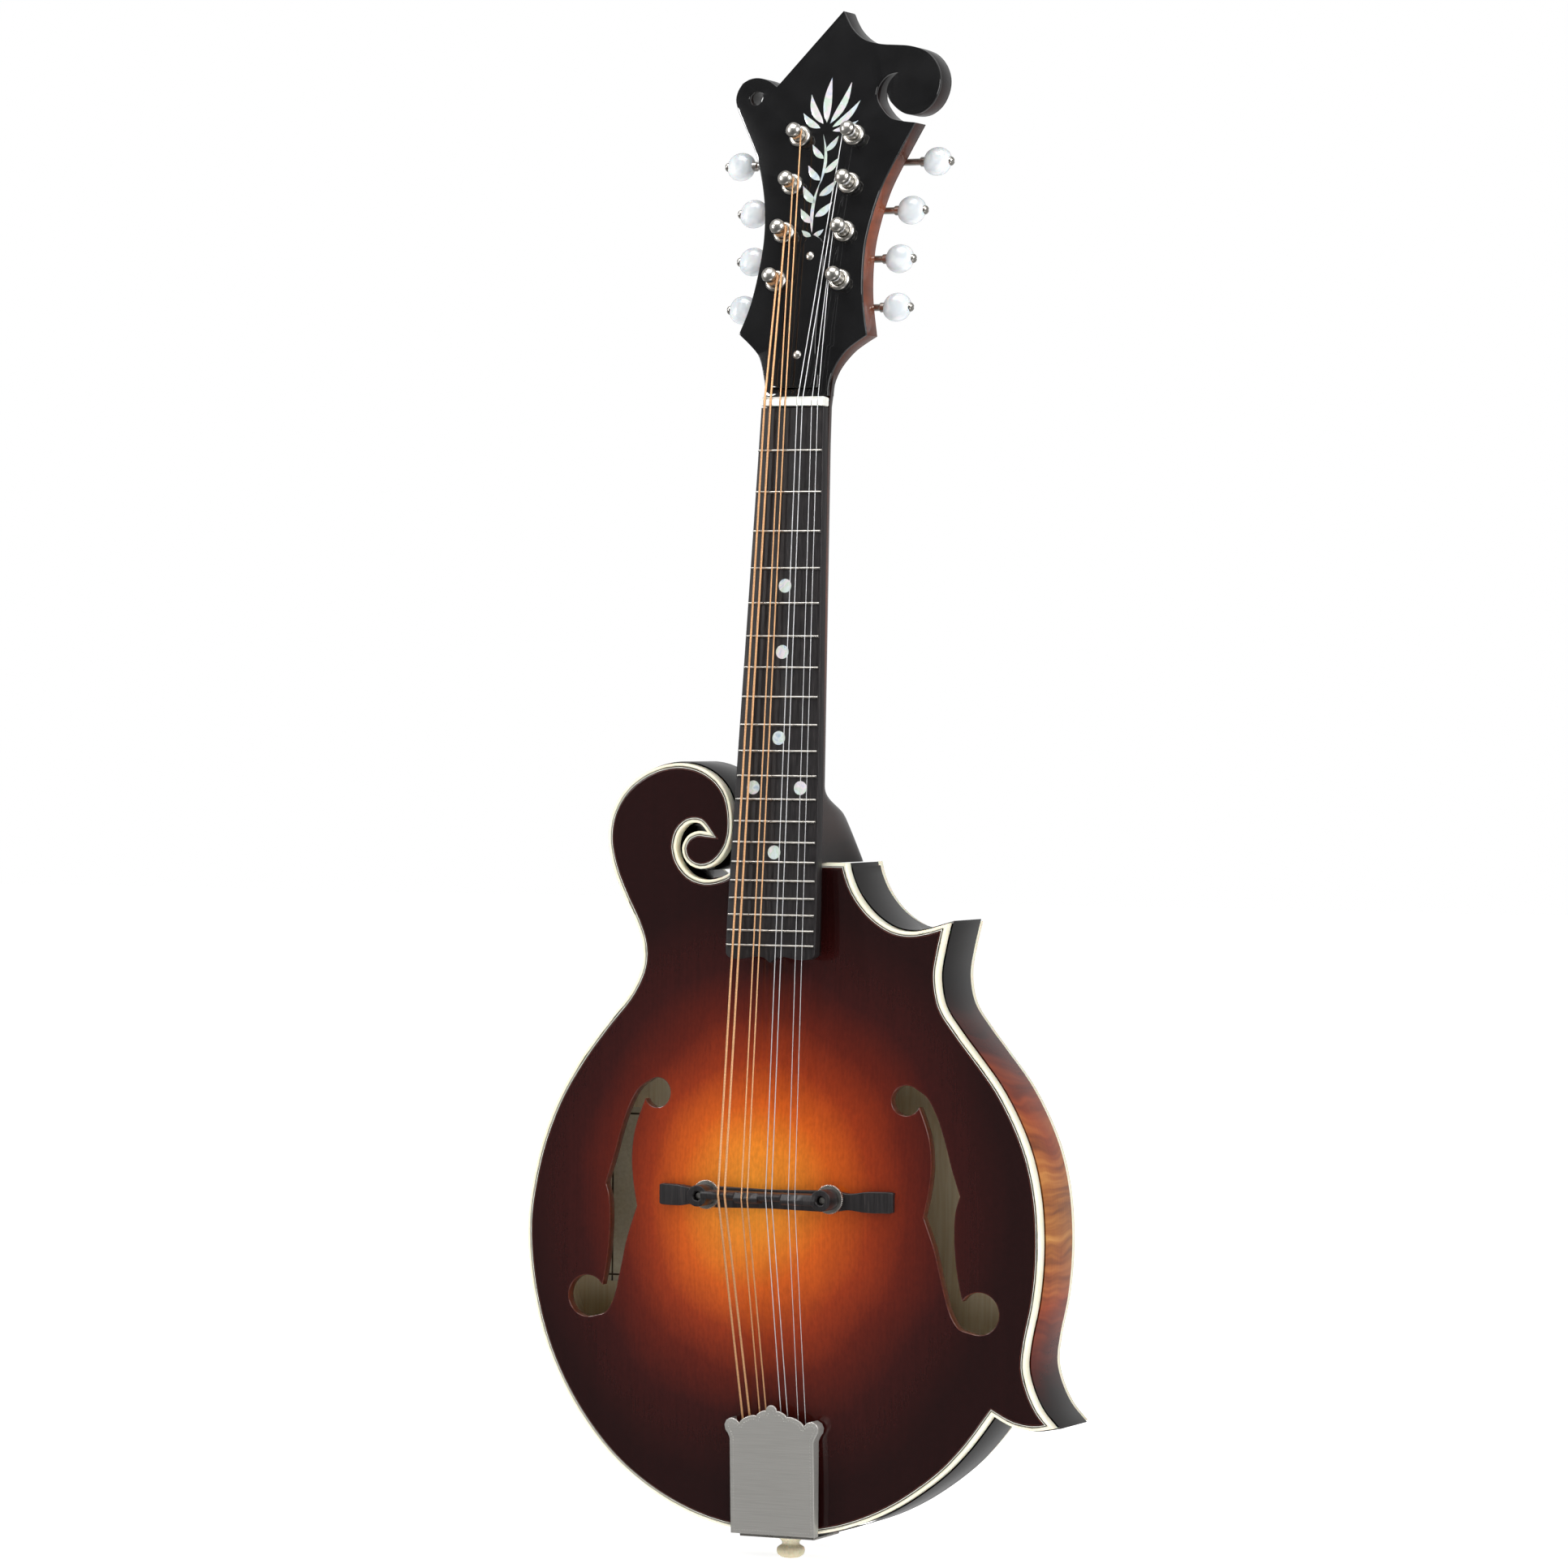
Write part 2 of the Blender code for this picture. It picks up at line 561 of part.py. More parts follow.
head_edge = path_between(rim_line, block_start, rim_line[-1])
head_edge += path_between(rim_line, rim_line[0], block_end)
head_square = moved_in(head_edge, BLOCK_STEP, closed=False)
head_block = [*head_edge, head_square[-1], *(on_body(p) for p in HEAD_BLOCK_INNER), head_square[0]]
slab("head_block", head_block, INNER_FRONT, INNER_BACK, MAPLE)

lower_rib = path_between(rim_line, lower_start, tail, 0, TAIL_HALF_WIDTH)
lower_inner = moved_in(path_between(lower_rib, notch, lower_rib[-1]), RIM_THICKNESS, closed=False)
lower_square = moved_in(lower_rib[:3], BLOCK_STEP, closed=False)[0]
slab("rim_tail", [*lower_rib, *lower_inner[::-1], lower_square], INNER_FRONT, INNER_BACK, MAPLE)

wedge_right = lower_rib[-1] + (tail - lower_rib[-1]).normalized() * GAP
wedge_left = bass_rib[0] + (tail - bass_rib[0]).normalized() * GAP
rim_tail_z = tail[1] + RIM_INSET
block_low = max(p[1] for p in OUTLINE if p[1] < TAIL_Z * 0.95 and abs(p[0]) < TAIL_BLOCK_HALF_WIDTH * 1.2)
block_low += RIM_INSET + RIM_THICKNESS + GAP
block_high = block_low + TAIL_BLOCK_LENGTH
tail_block = [wedge_right, Vector((0, rim_tail_z)), wedge_left]
tail_block += [Vector((wedge_left[0], block_low)), Vector((-TAIL_BLOCK_HALF_WIDTH, block_low))]
tail_block += [Vector((-TAIL_BLOCK_HALF_WIDTH, block_high)), Vector((TAIL_BLOCK_HALF_WIDTH, block_high))]
tail_block += [Vector((TAIL_BLOCK_HALF_WIDTH, block_low)), Vector((wedge_right[0], block_low))]
tail_block = slab("tail_block", tail_block, INNER_FRONT, INNER_BACK, MAPLE)
pin_y = RIM_FRONT + PIN_DEPTH
pin_bore = aimed((0, pin_y, tail[1] - PIN_LENGTH), (0, 0, 1))
cut_bore(tail_block, pin_bore, PIN_SHANK + PIN_SHANK_CLEARANCE, PIN_LENGTH * 2 + TAIL_BLOCK_LENGTH * 0.6)


def tone_bar(name, side):
    """A brace under the top, fitted to the hollow of its underside."""
    rings = []
    for i in range(13):
        x, z = on_body((side * (15 + i * 1.1), -292 - i * 12.4))
        lay = [(x - TONE_BAR_WIDTH / 2, z), (x + TONE_BAR_WIDTH / 2, z)]
        front = max(surface_y(TOP_INNER, *p) for p in lay) + GAP
        fall = TONE_BAR_HEIGHT * (0.35 + 0.65 * math.sin(math.pi * i / 12))
        corners = (lay[0], lay[1], lay[1], lay[0])
        depths = (front, front, front + fall, front + fall)
        rings.append([Vector((p[0], y, z)) for p, y in zip(corners, depths, strict=True)])
    loft(name, rings, BARE_WOOD)


tone_bar("tone_bar_bass", -1)
tone_bar("tone_bar_treble", 1)


# The neck: a half-round shaft that deepens into the heel, joined to the headstock's core
def neck_ring(z, front):
    along = max(0.0, -z / -JOINT_Z)
    rise = (HEEL_RISE_LENGTH - (z - JOINT_Z)) / HEEL_RISE_LENGTH
    rise = min(max(rise, 0.0), 1.0)
    deepen = min(rise / 0.44, 1.0)
    deepen = deepen * deepen * (3 - 2 * deepen)
    depth = NECK_DEPTH + (NECK_DEPTH_AT_HEEL - NECK_DEPTH) * along
    depth += (RIM_BACK - front - depth) * deepen
    wide = board_half_width(max(0.0, -z))
    shoulder = on_body(SHOULDER[0])[0] * rise**0.75
    back_wide = max(wide + (15.5 * mm - wide) * deepen, shoulder)
    points = []
    for i in range(17):
        turn = math.pi * i / 16
        across, down = math.cos(turn), math.sin(turn)
        square = 1 - 0.55 * deepen
        across = math.copysign(abs(across) ** square, across)
        limit = HEEL_BASS_LIMIT if across < 0 else 1.0
        reach = wide + (min(back_wide, limit) - wide) * down
        points.append(Vector((across * reach, front + depth * down**square, z)))
    return points


heel_start = JOINT_Z + HEEL_RISE_LENGTH
heel_end = JOINT_Z - RIM_INSET + GAP
stations = [i * heel_start / 5 for i in range(5)]
stations += [heel_start + (heel_end - heel_start) * i / 18 for i in range(19)]
core_front = VENEER_DEPTH + GAP
tuck = 0.5 * mm
rings = [neck_ring(z, face_y(z) + core_front + tuck) for z in (12 * mm, NUT_LENGTH + 0.25 * mm)]
rings += [neck_ring(z, board_y(z, -BOARD_BACK)) for z in (NUT_LENGTH, *stations)]
neck = loft("neck", rings, MAPLE)
head_outline = joined([[Vector(p) * mm for p in run] for run in HEAD_RUNS], 2)
core = slab(
    "tool", head_outline, lambda x, z: face_y(z) + core_front, lambda x, z: face_y(z) + HEAD_DEPTH, MAPLE
)
combine(neck, core, "UNION")

extension_end = -BOARD_LENGTH * 0.965
extension_half = board_half_width(-heel_end) - 2 * mm
footing_z = [heel_end + (extension_end - heel_end) * i / 6 for i in range(1, 7)]
footing = [(x, z) for x in (-extension_half, 0, extension_half) for z in footing_z]
extension_back = highest_under(TOP_OUTER, footing) - GAP
extension = [
    Vector((-extension_half, heel_end + tuck)), Vector((-extension_half, extension_end)),
    Vector((extension_half, extension_end)), Vector((extension_half, heel_end + tuck)),
]
extension = slab("tool", extension, lambda x, z: board_y(z, -BOARD_BACK), extension_back, MAPLE)
combine(neck, extension, "UNION")

veneer = slab(
    "headstock_veneer", head_outline, lambda x, z: face_y(z), lambda x, z: face_y(z) + VENEER_DEPTH, BLACK
)
head_eye = aimed((HEAD_EYE[0], -20 * mm, HEAD_EYE[1]), (0, 1, 0))
face_up = face_point(0, 1, 0) - face_point(0, 0, 0)
face_in = face_point(0, 0, 1) - face_point(0, 0, 0)


def face_box(across, up, depth):
    """A box in the headstock's own frame: each argument is a low and a high value."""
    corners = ((0, 0), (1, 0), (1, 1), (0, 1))
    return loft("tool", [[face_point(across[i], up[j], d) for i, j in corners] for d in depth], METAL)


pocket_half = ROD_NUT_RADIUS + ROD_POCKET_CLEARANCE
pocket_up = (ROD_NUT_START - ROD_POCKET_CLEARANCE, ROD_NUT_START + 2 * ROD_NUT_LENGTH)
for layer in (neck, veneer):
    cut_bore(layer, head_eye, HEAD_EYE_RADIUS, 120 * mm)
    pocket_across = (COVER_CENTRE - pocket_half, COVER_CENTRE + pocket_half)
    pocket = face_box(pocket_across, pocket_up, (-2 * mm, ROD_NUT_DEPTH + pocket_half))
    combine(layer, pocket, "DIFFERENCE")

rod_nut_place = aimed(face_point(COVER_CENTRE, ROD_NUT_START, ROD_NUT_DEPTH), face_up)
rod_nut_profile = [(ROD_NUT_RADIUS, 0), (ROD_NUT_RADIUS, ROD_NUT_LENGTH)]
rod_nut = turned("truss_rod_nut", rod_nut_profile, rod_nut_place, 6, METAL)
set_origin(rod_nut, rod_nut_place.translation)

COVER_SIDE = [(11.5, 8.5), (11.2, 14), (8.6, 24), (7.2, 40), (6.8, 60), (6.0, 72), (3.4, 79.5), (0, 81.5)]
cover_right = [(COVER_CENTRE + p[0], p[1]) for p in smooth([Vector(q) * mm for q in COVER_SIDE], 2)]
cover_left = [(2 * COVER_CENTRE - x, up) for x, up in cover_right[-2::-1]]
cover_sides = cover_right + cover_left
cover_rings = [[face_point(x, up, -d) for x, up in cover_sides] for d in (GAP, GAP + COVER_THICKNESS)]
loft("truss_rod_cover", cover_rings, BLACK)


# The fretboard with its frets, and the nut
profile = [(0, 0)]
for number in range(1, FRET_COUNT + 1):
    crown = fret_distance(number)
    profile += [(crown - FRET_WIDTH / 2, 0), (crown - FRET_WIDTH / 4, FRET_HEIGHT)]
    profile += [(crown + FRET_WIDTH / 4, FRET_HEIGHT), (crown + FRET_WIDTH / 2, 0)]
profile += [(BOARD_LENGTH, 0), (BOARD_LENGTH, -BOARD_THICKNESS), (0, -BOARD_THICKNESS)]
sides = [[board_point(s, side * board_half_width(s), h) for s, h in profile] for side in (-1, 1)]
fretboard = loft("fretboard", sides, EBONY)
end_wide = board_half_width(BOARD_LENGTH)
BOARD_END = [(1.0, -4.6), (0.985, -3.2), (0.9, -1.9), (0.62, -1.5), (0.32, -2.7), (0.14, -2.2), (0, 0)]
end_half = smooth([Vector((share * end_wide, BOARD_LENGTH + back * mm)) for share, back in BOARD_END], 2)
plan = [(-end_wide * 1.2, -5 * mm), (-end_wide * 1.2, end_half[0][1]), (-end_half[0][0], end_half[0][1])]
plan += [(-p[0], p[1]) for p in end_half[1:-1]] + [tuple(p) for p in end_half[::-1]]
plan += [(end_wide * 1.2, end_half[0][1]), (end_wide * 1.2, -5 * mm)]
trim = loft("tool", [[board_point(s, x, h) for x, s in plan] for h in (5 * mm, -2 * BOARD_THICKNESS)], EBONY)
combine(fretboard, trim, "INTERSECT")

nut_profile = [(-GAP, -BOARD_THICKNESS), (-GAP, NUT_RISE), (-NUT_LENGTH * 0.55, NUT_RISE)]
nut_profile += [(-NUT_LENGTH, -1.2 * mm), (-NUT_LENGTH, -BOARD_THICKNESS)]
loft("nut", [[board_point(s, side * NUT_WIDTH / 2, h) for s, h in nut_profile] for side in (-1, 1)], BONE)


# The bridge: a base fitted to the top, posts, thumbwheels and the saddle that they lift
bridge_z = SADDLE_PLACE.z - 1.2 * mm
seat_edge = BRIDGE_POST_SPREAD + WHEEL_RADIUS
seat_z = (bridge_z - BASE_WIDTH / 2, bridge_z, bridge_z + BASE_WIDTH / 2)
seats = [(x, z) for x in (-BRIDGE_POST_SPREAD, BRIDGE_POST_SPREAD) for z in seat_z]
outer_under = highest_under(TOP_OUTER, seats)
seat_y = outer_under - BASE_SEAT_RISE
base_rings = []
for i in range(25):
    x = BASE_HALF_LENGTH * (i / 12 - 1)
    under = highest_under(TOP_OUTER, [(x, z) for z in seat_z]) - GAP
    past = max(0.0, (abs(x) - seat_edge) / (BASE_HALF_LENGTH - seat_edge))
    over = seat_y + (under - BASE_TIP - seat_y) * past
    half = BASE_WIDTH / 2 * (1 - 0.12 * past)
    section = ((over, -half), (over, half), (under, half), (under, -half))
    base_rings.append([Vector((x, y, bridge_z + z)) for y, z in section])
loft("bridge_base", base_rings, EBONY)

wheel_y = seat_y - WHEEL_LIFT
boss_y = wheel_y - WHEEL_THICKNESS - GAP
saddle_top = SADDLE_PLACE.y
boss_top = saddle_top + BOSS_DROP
scoop = boss_y - SCOOP_DEPTH
bar_right = [(SADDLE_TOP_HALF, saddle_top), (BRIDGE_POST_SPREAD, boss_top)]
bar_right += [(BRIDGE_POST_SPREAD, boss_y - SADDLE_FOOT_STEP), (BRIDGE_POST_SPREAD * SCOOP_SHARE, scoop)]
bar = bar_right + [(0, scoop - SCOOP_RISE)] + [(-x, y) for x, y in bar_right[::-1]]
bar_ends = [[Vector((x, y, SADDLE_PLACE.z + side * SADDLE_WIDTH / 2)) for x, y in bar] for side in (-1, 1)]
saddle = loft("bridge_saddle", bar_ends, EBONY)
for side in (-1, 1):
    foot = (side * BRIDGE_POST_SPREAD, boss_y, SADDLE_PLACE.z)
    boss_profile = [(BOSS_RADIUS, 0), (BOSS_RADIUS, boss_y - boss_top)]
    boss = turned("tool", boss_profile, aimed(foot, (0, -1, 0)), 16, EBONY)
    combine(saddle, boss, "UNION")
for side, word in ((-1, "bass"), (1, "treble")):
    bore = aimed((side * BRIDGE_POST_SPREAD, seat_y + 1 * mm, SADDLE_PLACE.z), (0, -1, 0))
    bore_radius = BRIDGE_POST_RADIUS + BRIDGE_POST_CLEARANCE
    cut_bore(saddle, bore, bore_radius, 40 * mm)
    post_foot = aimed((side * BRIDGE_POST_SPREAD, seat_y - GAP, SADDLE_PLACE.z), (0, -1, 0))
    post_profile = [(BRIDGE_POST_RADIUS, 0), (BRIDGE_POST_RADIUS, BRIDGE_POST_LENGTH)]
    turned(f"bridge_post_{word}", post_profile, post_foot, 12, METAL)
    wheel_place = aimed((side * BRIDGE_POST_SPREAD, wheel_y, SADDLE_PLACE.z), (0, -1, 0))
    wheel_profile = [(WHEEL_RADIUS, 0), (WHEEL_RADIUS, WHEEL_THICKNESS)]
    wheel = turned(f"thumbwheel_{word}", wheel_profile, wheel_place, 20, METAL)
    cut_bore(wheel, bore, bore_radius, 40 * mm)
    set_origin(wheel, wheel_place.translation)
set_origin(saddle, (0, boss_y, SADDLE_PLACE.z))


# The tailpiece: a base bent over the end of the body, its sliding cover, and the end pin
base_z = [tail[1] + TAILPIECE_REACH * i / 6 for i in range(1, 7)]
base_under = [(x, z) for x in (-TAILPIECE_HALF_WIDTH, 0, TAILPIECE_HALF_WIDTH) for z in base_z]
base_y = highest_under(TOP_OUTER, base_under) - GAP
flange_z = tail[1] - GAP
base_face = base_y - TAILPIECE_SHEET
bend = [(base_face, tail[1] + TAILPIECE_REACH), (base_face, flange_z - TAILPIECE_SHEET)]
bend += [(RIM_FRONT + TAILPIECE_FLANGE, flange_z - TAILPIECE_SHEET), (RIM_FRONT + TAILPIECE_FLANGE, flange_z)]
bend += [(base_y, flange_z), (base_y, tail[1] + TAILPIECE_REACH)]
bent = [[Vector((side * TAILPIECE_HALF_WIDTH, y, z)) for y, z in bend] for side in (-1, 1)]
tailpiece_base = loft("tailpiece_base", bent, METAL)
cut_bore(tailpiece_base, pin_bore, PIN_SHANK + PIN_SHANK_CLEARANCE, PIN_LENGTH * 2)

cover_end = tail[1] + GAP
COVER_TOP = [
    (1.0, 0), (1.075, 2.6), (1.095, 6.6), (1.0, 9.0), (0.7, 7.2), (0.45, 9.6), (0.2, 10.8), (0, 15.4),
]
cover_half = [Vector((0.975 * COVER_HALF_WIDTH, cover_end))]
cover_half += smooth(
    [Vector((share * COVER_HALF_WIDTH, tail[1] + COVER_SHOULDER + up * mm)) for share, up in COVER_TOP], 2
)
cover_outline = cover_half + [Vector((-p[0], p[1])) for p in cover_half[-2::-1]]


# The cover's mouth clears the thickest string, which runs straight from the saddle to its hook
thickest = max(string[0] for string in STRINGS) + GAP
hook = Vector((0, base_face - thickest, tail[1] + TAILPIECE_REACH * HOOK_SHARE))
leaves_saddle = board_point(SADDLE_DISTANCE + SADDLE_WIDTH / 2, 0, SADDLE_RISE + thickest)
mouth_z = cover_half[-1][1]
string_share = (mouth_z - hook.z) / (leaves_saddle.z - hook.z)
mouth_y = hook.y + (leaves_saddle.y - hook.y) * string_share - COVER_LIFT
cover_tail_y = RIM_FRONT - COVER_TAIL_RISE


def cover_y(z):
    return cover_tail_y + (mouth_y - cover_tail_y) * (z - cover_end) / (mouth_z - cover_end)


cover_back = base_face - GAP
tailpiece_cover = slab("tailpiece_cover", cover_outline, lambda x, z: cover_y(z), cover_back, METAL)
hollow_half = 0.975 * COVER_HALF_WIDTH - COVER_SHEET
hollow = [Vector((-hollow_half, z)) for z in (cover_end + COVER_SHEET, cover_end + 2 * COVER_SHOULDER)]
hollow += [Vector((-p[0], p[1])) for p in hollow[::-1]]
hollow = slab("tool", hollow, lambda x, z: cover_y(z) + COVER_SHEET, cover_back + 5 * mm, METAL)
combine(tailpiece_cover, hollow, "DIFFERENCE")

pin_place = aimed((0, pin_y, flange_z - TAILPIECE_SHEET - GAP), (0, 0, -1))
pin_profile = [(PIN_SHANK, -PIN_LENGTH * 2), (PIN_SHANK, 0), (PIN_RADIUS * 0.86, 0)]
pin_profile += [(PIN_RADIUS * 0.86, PIN_LENGTH * 0.14), (PIN_RADIUS * 0.6, PIN_LENGTH * 0.26)]
pin_profile += [(PIN_RADIUS * 0.6, PIN_LENGTH * 0.38), (PIN_RADIUS, PIN_LENGTH * 0.6)]
pin_profile += [(PIN_RADIUS * 0.95, PIN_LENGTH * 0.8), (PIN_RADIUS * 0.45, PIN_LENGTH)]
turned("end_pin", pin_profile, pin_place, 20, BONE)


# The tuners: a plate behind each side of the headstock, and on it four posts, worm shafts and buttons
GEAR_START = HEAD_THICKNESS + GAP + PLATE_THICKNESS + 3 * GAP
WORM_DEPTH = GEAR_START + GEAR_THICKNESS / 2
WORM_OFFSET = GEAR_RADIUS + WORM_RADIUS + GAP


def post_across(side, step):
    return TUNER_CENTRE + side * (TUNER_HALF_SPREAD - TUNER_TAPER * step)


for side, word in ((-1, "bass"), (1, "treble")):
    ends = [(-PLATE_BELOW, 0), (TUNER_SPACING * (TUNERS_A_SIDE - 1) + PLATE_ABOVE, TUNERS_A_SIDE - 1)]
    strip = [(post_across(side, step) - PLATE_HALF_WIDTH, TUNER_FIRST + up) for up, step in ends]
    strip += [(post_across(side, step) + PLATE_HALF_WIDTH, TUNER_FIRST + up) for up, step in ends[::-1]]
    depths = (HEAD_THICKNESS + GAP, HEAD_THICKNESS + GAP + PLATE_THICKNESS)
    plate = loft(f"tuner_plate_{word}", [[face_point(x, up, d) for x, up in strip] for d in depths], METAL)
    for step in range(TUNERS_A_SIDE):
        across, up = post_across(side, step), TUNER_FIRST + TUNER_SPACING * step
        for layer in (neck, veneer, plate):
            bore = aimed(face_point(across, up, -3 * mm), face_in)
            cut_bore(layer, bore, POST_RADIUS + POST_CLEARANCE, 25 * mm)
        post_place = aimed(face_point(across, up, 0), face_in)
        cap, waist = -POST_HEIGHT, -STRING_HEIGHT_AT_POST
        post_profile = [(POST_CAP_RADIUS * 0.4, cap), (POST_CAP_RADIUS * 0.85, cap + 0.6 * mm)]
        post_profile += [(POST_CAP_RADIUS, cap + 1.7 * mm), (POST_CAP_RADIUS * 0.9, cap + 2.8 * mm)]
        post_profile += [(POST_WAIST, waist - 0.9 * mm), (POST_WAIST, waist + 1.5 * mm)]
        post_profile += [(POST_RADIUS, waist + 2.1 * mm), (POST_RADIUS, GEAR_START)]
        post_profile += [(GEAR_RADIUS, GEAR_START), (GEAR_RADIUS, GEAR_START + GEAR_THICKNESS)]
        post_profile += [(POST_WAIST, GEAR_START + GEAR_THICKNESS)]
        post = turned(f"string_post_{word}_{step + 1}", post_profile, post_place, 12, METAL)
        set_origin(post, post_place.translation)

        worm_centre = face_point(across, up - WORM_OFFSET, WORM_DEPTH)
        button_across = TUNER_CENTRE + side * BUTTON_OFFSETS[step]
        reach = abs(button_across - across) - BUTTON_RADIUS - GAP
        shaft_profile = [(WORM_RADIUS, -WORM_HALF_LENGTH), (WORM_RADIUS, WORM_HALF_LENGTH)]
        shaft_profile += [(SHAFT_RADIUS, WORM_HALF_LENGTH), (SHAFT_RADIUS, reach)]
        shaft_place = aimed(worm_centre, (side, 0, 0))
        shaft = turned(f"worm_shaft_{word}_{step + 1}", shaft_profile, shaft_place, 10, METAL)
        set_origin(shaft, worm_centre)

        button_centre = face_point(button_across, up - WORM_OFFSET, WORM_DEPTH)
        button_rings = []
        for i in range(9):
            tilt = BUTTON_END_TILT * (i / 4 - 1)
            radius = BUTTON_RADIUS * math.cos(tilt)
            along = BUTTON_RADIUS * math.sin(tilt) / math.sin(BUTTON_END_TILT)
            middle = button_centre + Vector((along, 0, 0))
            flattened = face_in * BUTTON_HALF_DEPTH / BUTTON_RADIUS
            points = ring((0, 0), radius, 14)
            button_rings.append([middle + face_up * p[0] + flattened * p[1] for p in points])
        button = loft(f"tuner_button_{word}_{step + 1}", button_rings, PEARL, 60)
        set_origin(button, button_centre)


# The strings: from the inner side of a post, over the nut and the saddle, to the tailpiece
def string_step(number):
    """The outermost string of each side runs to the nearest post, the innermost to the farthest."""
    half = len(STRINGS) // 2
    return (-1, number) if number < half else (1, len(STRINGS) - 1 - number)


for number, (radius, at_nut, at_saddle, at_tail) in enumerate(STRINGS):
    side, step = string_step(number)
    lift = radius + GAP
    post_x = post_across(side, step) - side * (POST_WAIST + lift)
    route = [
        face_point(post_x, TUNER_FIRST + TUNER_SPACING * step, -STRING_HEIGHT_AT_POST),
        board_point(-NUT_LENGTH * 0.55, at_nut, NUT_RISE + lift),
        board_point(-GAP, at_nut, NUT_RISE + lift),
        board_point(SADDLE_DISTANCE - SADDLE_WIDTH / 2, at_saddle, SADDLE_RISE + lift),
        board_point(SADDLE_DISTANCE + SADDLE_WIDTH / 2, at_saddle, SADDLE_RISE + lift),
        Vector((at_tail, base_face - lift, hook.z)),
    ]
    curve = bpy.data.curves.new(f"string_{number + 1}", "CURVE")
    curve.dimensions = "3D"
    curve.bevel_depth = radius
    curve.bevel_resolution = 2
    curve.use_fill_caps = True
    spline = curve.splines.new("POLY")
    spline.points.add(len(route) - 1)
    for point, place in zip(spline.points, route, strict=True):
        point.co = (*place, 1)
    curve.materials.append(BRONZE if side < 0 else STEEL)
    string = bpy.data.objects.new(f"string_{number + 1}", curve)
    bpy.context.scene.collection.objects.link(string)
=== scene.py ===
"""The looks of a carved-top scroll mandolin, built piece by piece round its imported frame."""

import math

import bmesh
import bpy
import numpy as np
from mathutils import Matrix, Vector
from mathutils.bvhtree import BVHTree
from mathutils.geometry import delaunay_2d_cdt


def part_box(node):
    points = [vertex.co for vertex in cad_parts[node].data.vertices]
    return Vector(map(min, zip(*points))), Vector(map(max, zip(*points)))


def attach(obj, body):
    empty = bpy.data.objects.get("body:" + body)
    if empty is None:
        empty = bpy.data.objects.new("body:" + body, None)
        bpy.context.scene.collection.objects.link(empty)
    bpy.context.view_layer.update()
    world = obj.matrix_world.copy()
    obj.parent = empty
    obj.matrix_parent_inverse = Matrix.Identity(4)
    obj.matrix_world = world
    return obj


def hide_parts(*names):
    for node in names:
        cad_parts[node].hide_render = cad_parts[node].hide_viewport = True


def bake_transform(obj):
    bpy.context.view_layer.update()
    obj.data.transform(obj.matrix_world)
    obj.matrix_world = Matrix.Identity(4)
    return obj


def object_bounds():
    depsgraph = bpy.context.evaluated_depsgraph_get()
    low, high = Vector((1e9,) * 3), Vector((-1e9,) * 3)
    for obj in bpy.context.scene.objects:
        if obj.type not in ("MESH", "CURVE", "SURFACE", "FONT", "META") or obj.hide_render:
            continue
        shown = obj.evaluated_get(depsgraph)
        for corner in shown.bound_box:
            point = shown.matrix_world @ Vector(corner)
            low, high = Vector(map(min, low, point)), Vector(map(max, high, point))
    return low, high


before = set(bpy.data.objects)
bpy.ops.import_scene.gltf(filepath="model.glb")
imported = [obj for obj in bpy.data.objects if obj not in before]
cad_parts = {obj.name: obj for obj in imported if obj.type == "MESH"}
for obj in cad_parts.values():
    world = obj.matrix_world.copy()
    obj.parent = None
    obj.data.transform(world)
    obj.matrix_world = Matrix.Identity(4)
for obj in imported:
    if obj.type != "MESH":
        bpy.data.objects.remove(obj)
cad_size = [list(corner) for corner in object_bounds()]
mm = 0.001
FRONT = Vector((0, -1, 0))
BACK = Vector((0, 1, 0))


# The camera stands to the treble side of the instrument, a little above its middle, with a long lens,
# so that the front, the treble ribs and the sides of the headstock are all in sight.
CAMERA_TURN = math.radians(24)
CAMERA_RISE = math.radians(0.704)
CAMERA_ROLL = math.radians(0.407)
CAMERA_DISTANCE = 2.9294
CAMERA_AIM = Vector((-2.776 * mm, 0, -168.867 * mm))
LENS = 150.23

back = Vector((
    math.sin(CAMERA_TURN) * math.cos(CAMERA_RISE),
    -math.cos(CAMERA_TURN) * math.cos(CAMERA_RISE),
    math.sin(CAMERA_RISE),
))
right = Vector((math.cos(CAMERA_TURN), math.sin(CAMERA_TURN), 0))
upward = back.cross(right)
rolled_right = math.cos(CAMERA_ROLL) * right + math.sin(CAMERA_ROLL) * upward
rolled_up = math.cos(CAMERA_ROLL) * upward - math.sin(CAMERA_ROLL) * right
camera = bpy.data.objects.new("camera", bpy.data.cameras.new("camera"))
bpy.context.scene.collection.objects.link(camera)
turn = Matrix((rolled_right, rolled_up, back)).transposed().to_4x4()
camera.matrix_world = Matrix.Translation(CAMERA_AIM + back * CAMERA_DISTANCE) @ turn
camera.data.lens = LENS
camera.data.sensor_width = 36
camera.data.clip_end = 50
bpy.context.scene.camera = camera


# The studio: a pale floor, a white surround that is dim in front, so that black lacquer stays black, and
# softboxes at the sides and above.
def linear(code):
    """An sRGB hex colour as linear red, green, blue and alpha."""
    parts = [int(code[i : i + 2], 16) / 255 for i in (0, 2, 4)]
    return (*[c / 12.92 if c <= 0.04045 else ((c + 0.055) / 1.055) ** 2.4 for c in parts], 1)


def add(tree, kind, links=None, **settings):
    """Adds a node: links fill its inputs by name or number, and settings are its properties."""
    node = tree.nodes.new(kind)
    for key, value in settings.items():
        setattr(node, key, value)
    for key, value in (links or {}).items():
        if isinstance(value, bpy.types.NodeSocket):
            tree.links.new(value, node.inputs[key])
        else:
            node.inputs[key].default_value = value
    return node


